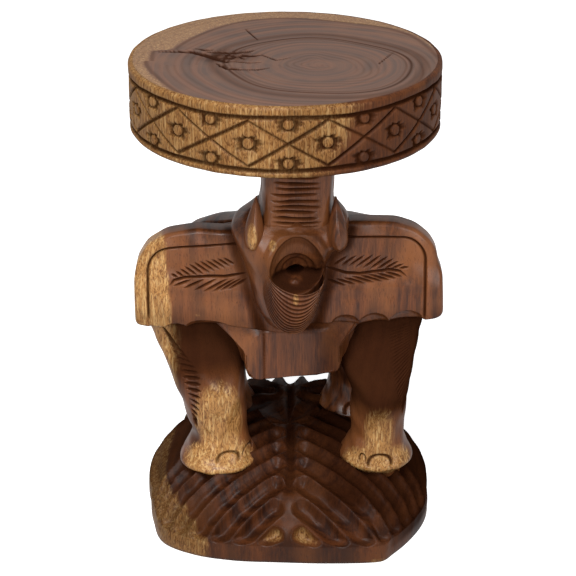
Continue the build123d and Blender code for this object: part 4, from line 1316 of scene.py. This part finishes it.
class StoolWood(bpy.types.PropertyGroup):
    heart: shade("Heartwood", "Main colour of the heartwood", (0.13, 0.04, 0.013))
    heart_dark: shade("Dark figure", "Dark streaks of the heartwood", (0.03, 0.009, 0.004))
    heart_light: shade("Light figure", "Light clouds in the heartwood", (0.2, 0.07, 0.022))
    sap: shade("Sapwood", "Main colour of the sapwood", (0.378, 0.189, 0.06))
    sap_dark: shade("Sapwood streaks", "Dark streaks of the sapwood", (0.158, 0.06, 0.016))
    sap_light: shade("Sapwood lights", "Light streaks of the sapwood", (0.598, 0.378, 0.158))
    # dark colour of polish settled in the cuts, also used for painted shade in recesses, under the ears and
    # in the mouth
    stain: shade("Stain", "Polish that has settled in the cuts", (0.028, 0.009, 0.004))
    # tint multiplied in for painted deep shadow and for each finish's darkening, which on the mound is partly
    # painted shade
    shadow: shade("Glaze", "Tint of the dark glaze on the base", (0.32, 0.28, 0.26))
    # painted grey sheen of the seat's top
    top_sheen_grey: shade("Seat grey", "Grey bloom of the sanded seat", (0.24, 0.17, 0.14))


class StoolStage(bpy.types.PropertyGroup):
    floor: shade("Floor", "Colour of the floor, as the camera sees it", (0.9, 0.9, 0.9))
    bounce: shade("Bounce", "Colour of the light that the floor throws back", (0.35, 0.33, 0.31))
    floor_glow: strength("Floor glow", "Lifts the seen floor to white", 0.8)
    ambient: strength("Ambient", "Strength of the even light", 0.19)


# ---- operators ----


class STOOL_OT_seat(bpy.types.Operator):
    """Carves the round seat: its latticed rim and its sanded top"""

    bl_idname, bl_label = "stool.seat", "Seat"

    def execute(self, context):
        scene = context.scene
        seat_rim(scene.stool_seat, scene.stool_wood)
        seat_top(scene.stool_seat, scene.stool_wood)
        return {"FINISHED"}


class STOOL_OT_trunk(bpy.types.Operator):
    """Carves the raised trunk and the two tusks beside it"""

    bl_idname, bl_label = "stool.trunk", "Trunk and tusks"

    def execute(self, context):
        scene = context.scene
        trunk(scene.stool_figure, scene.stool_wood)
        tusk("left_tusk", -1, scene.stool_figure, scene.stool_wood)
        tusk("right_tusk", 1, scene.stool_figure, scene.stool_wood)
        return {"FINISHED"}


class STOOL_OT_head(bpy.types.Operator):
    """Carves the face with its open mouth, and the lower jaw"""

    bl_idname, bl_label = "stool.head", "Head and jaw"

    def execute(self, context):
        scene = context.scene
        head(scene.stool_figure, scene.stool_wood)
        lower_jaw(scene.stool_figure, scene.stool_wood)
        return {"FINISHED"}


class STOOL_OT_ears(bpy.types.Operator):
    """Carves the two spread ears"""

    bl_idname, bl_label = "stool.ears", "Ears"

    def execute(self, context):
        scene = context.scene
        for name in EARS:
            ear(name, scene.stool_figure, scene.stool_wood)
        return {"FINISHED"}


class STOOL_OT_body(bpy.types.Operator):
    """Carves the barrel of the elephant and its tail"""

    bl_idname, bl_label = "stool.body", "Body and tail"

    def execute(self, context):
        scene = context.scene
        body(scene.stool_wood)
        tail(scene.stool_wood)
        return {"FINISHED"}


class STOOL_OT_legs(bpy.types.Operator):
    """Carves the four legs"""

    bl_idname, bl_label = "stool.legs", "Legs"

    def execute(self, context):
        scene = context.scene
        for name in LEGS:
            leg(name, scene.stool_wood)
        return {"FINISHED"}


class STOOL_OT_base(bpy.types.Operator):
    """Carves the leaf-shaped mound"""

    bl_idname, bl_label = "stool.base", "Base"

    def execute(self, context):
        scene = context.scene
        base(scene.stool_base, scene.stool_wood)
        return {"FINISHED"}


class STOOL_OT_stage(bpy.types.Operator):
    """Sets the floor, the light and the camera"""

    bl_idname, bl_label = "stool.stage", "Stage"

    def execute(self, context):
        scene = context.scene
        scene.view_settings.view_transform = "Standard"
        studio(scene, scene.stool_stage)
        floor(scene, scene.stool_stage)
        for name, light in LIGHTS.items():
            soft_light(name, *light)
        camera(scene)
        return {"FINISHED"}


class STOOL_PT_panel(bpy.types.Panel):
    """Lists what can be carved, with its settings"""

    bl_label, bl_space_type, bl_region_type, bl_category = "Carved Stool", "VIEW_3D", "UI", "Stool"

    def draw(self, context):
        for group in GROUPS:
            box = self.layout.box()
            for key in group.__annotations__:
                box.prop(getattr(context.scene, GROUPS[group]), key)
        for operator in OPERATORS:
            self.layout.operator(operator.bl_idname)


GROUPS = {
    StoolSeat: "stool_seat",
    StoolFigure: "stool_figure",
    StoolBase: "stool_base",
    StoolWood: "stool_wood",
    StoolStage: "stool_stage",
}
OPERATORS = (
    STOOL_OT_seat,
    STOOL_OT_trunk,
    STOOL_OT_head,
    STOOL_OT_ears,
    STOOL_OT_body,
    STOOL_OT_legs,
    STOOL_OT_base,
    STOOL_OT_stage,
)


def register():
    for group, place in GROUPS.items():
        bpy.utils.register_class(group)
        setattr(bpy.types.Scene, place, bpy.props.PointerProperty(type=group))
    for kind in (*OPERATORS, STOOL_PT_panel):
        bpy.utils.register_class(kind)


def unregister():
    for kind in (STOOL_PT_panel, *reversed(OPERATORS)):
        bpy.utils.unregister_class(kind)
    for group, place in GROUPS.items():
        delattr(bpy.types.Scene, place)
        bpy.utils.unregister_class(group)


def main():
    """Carves every piece in order."""
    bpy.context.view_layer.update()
    register()
    for operator in OPERATORS:
        group, name = operator.bl_idname.split(".")
        getattr(getattr(bpy.ops, group), name)()


if __name__ == "__main__":
    main()
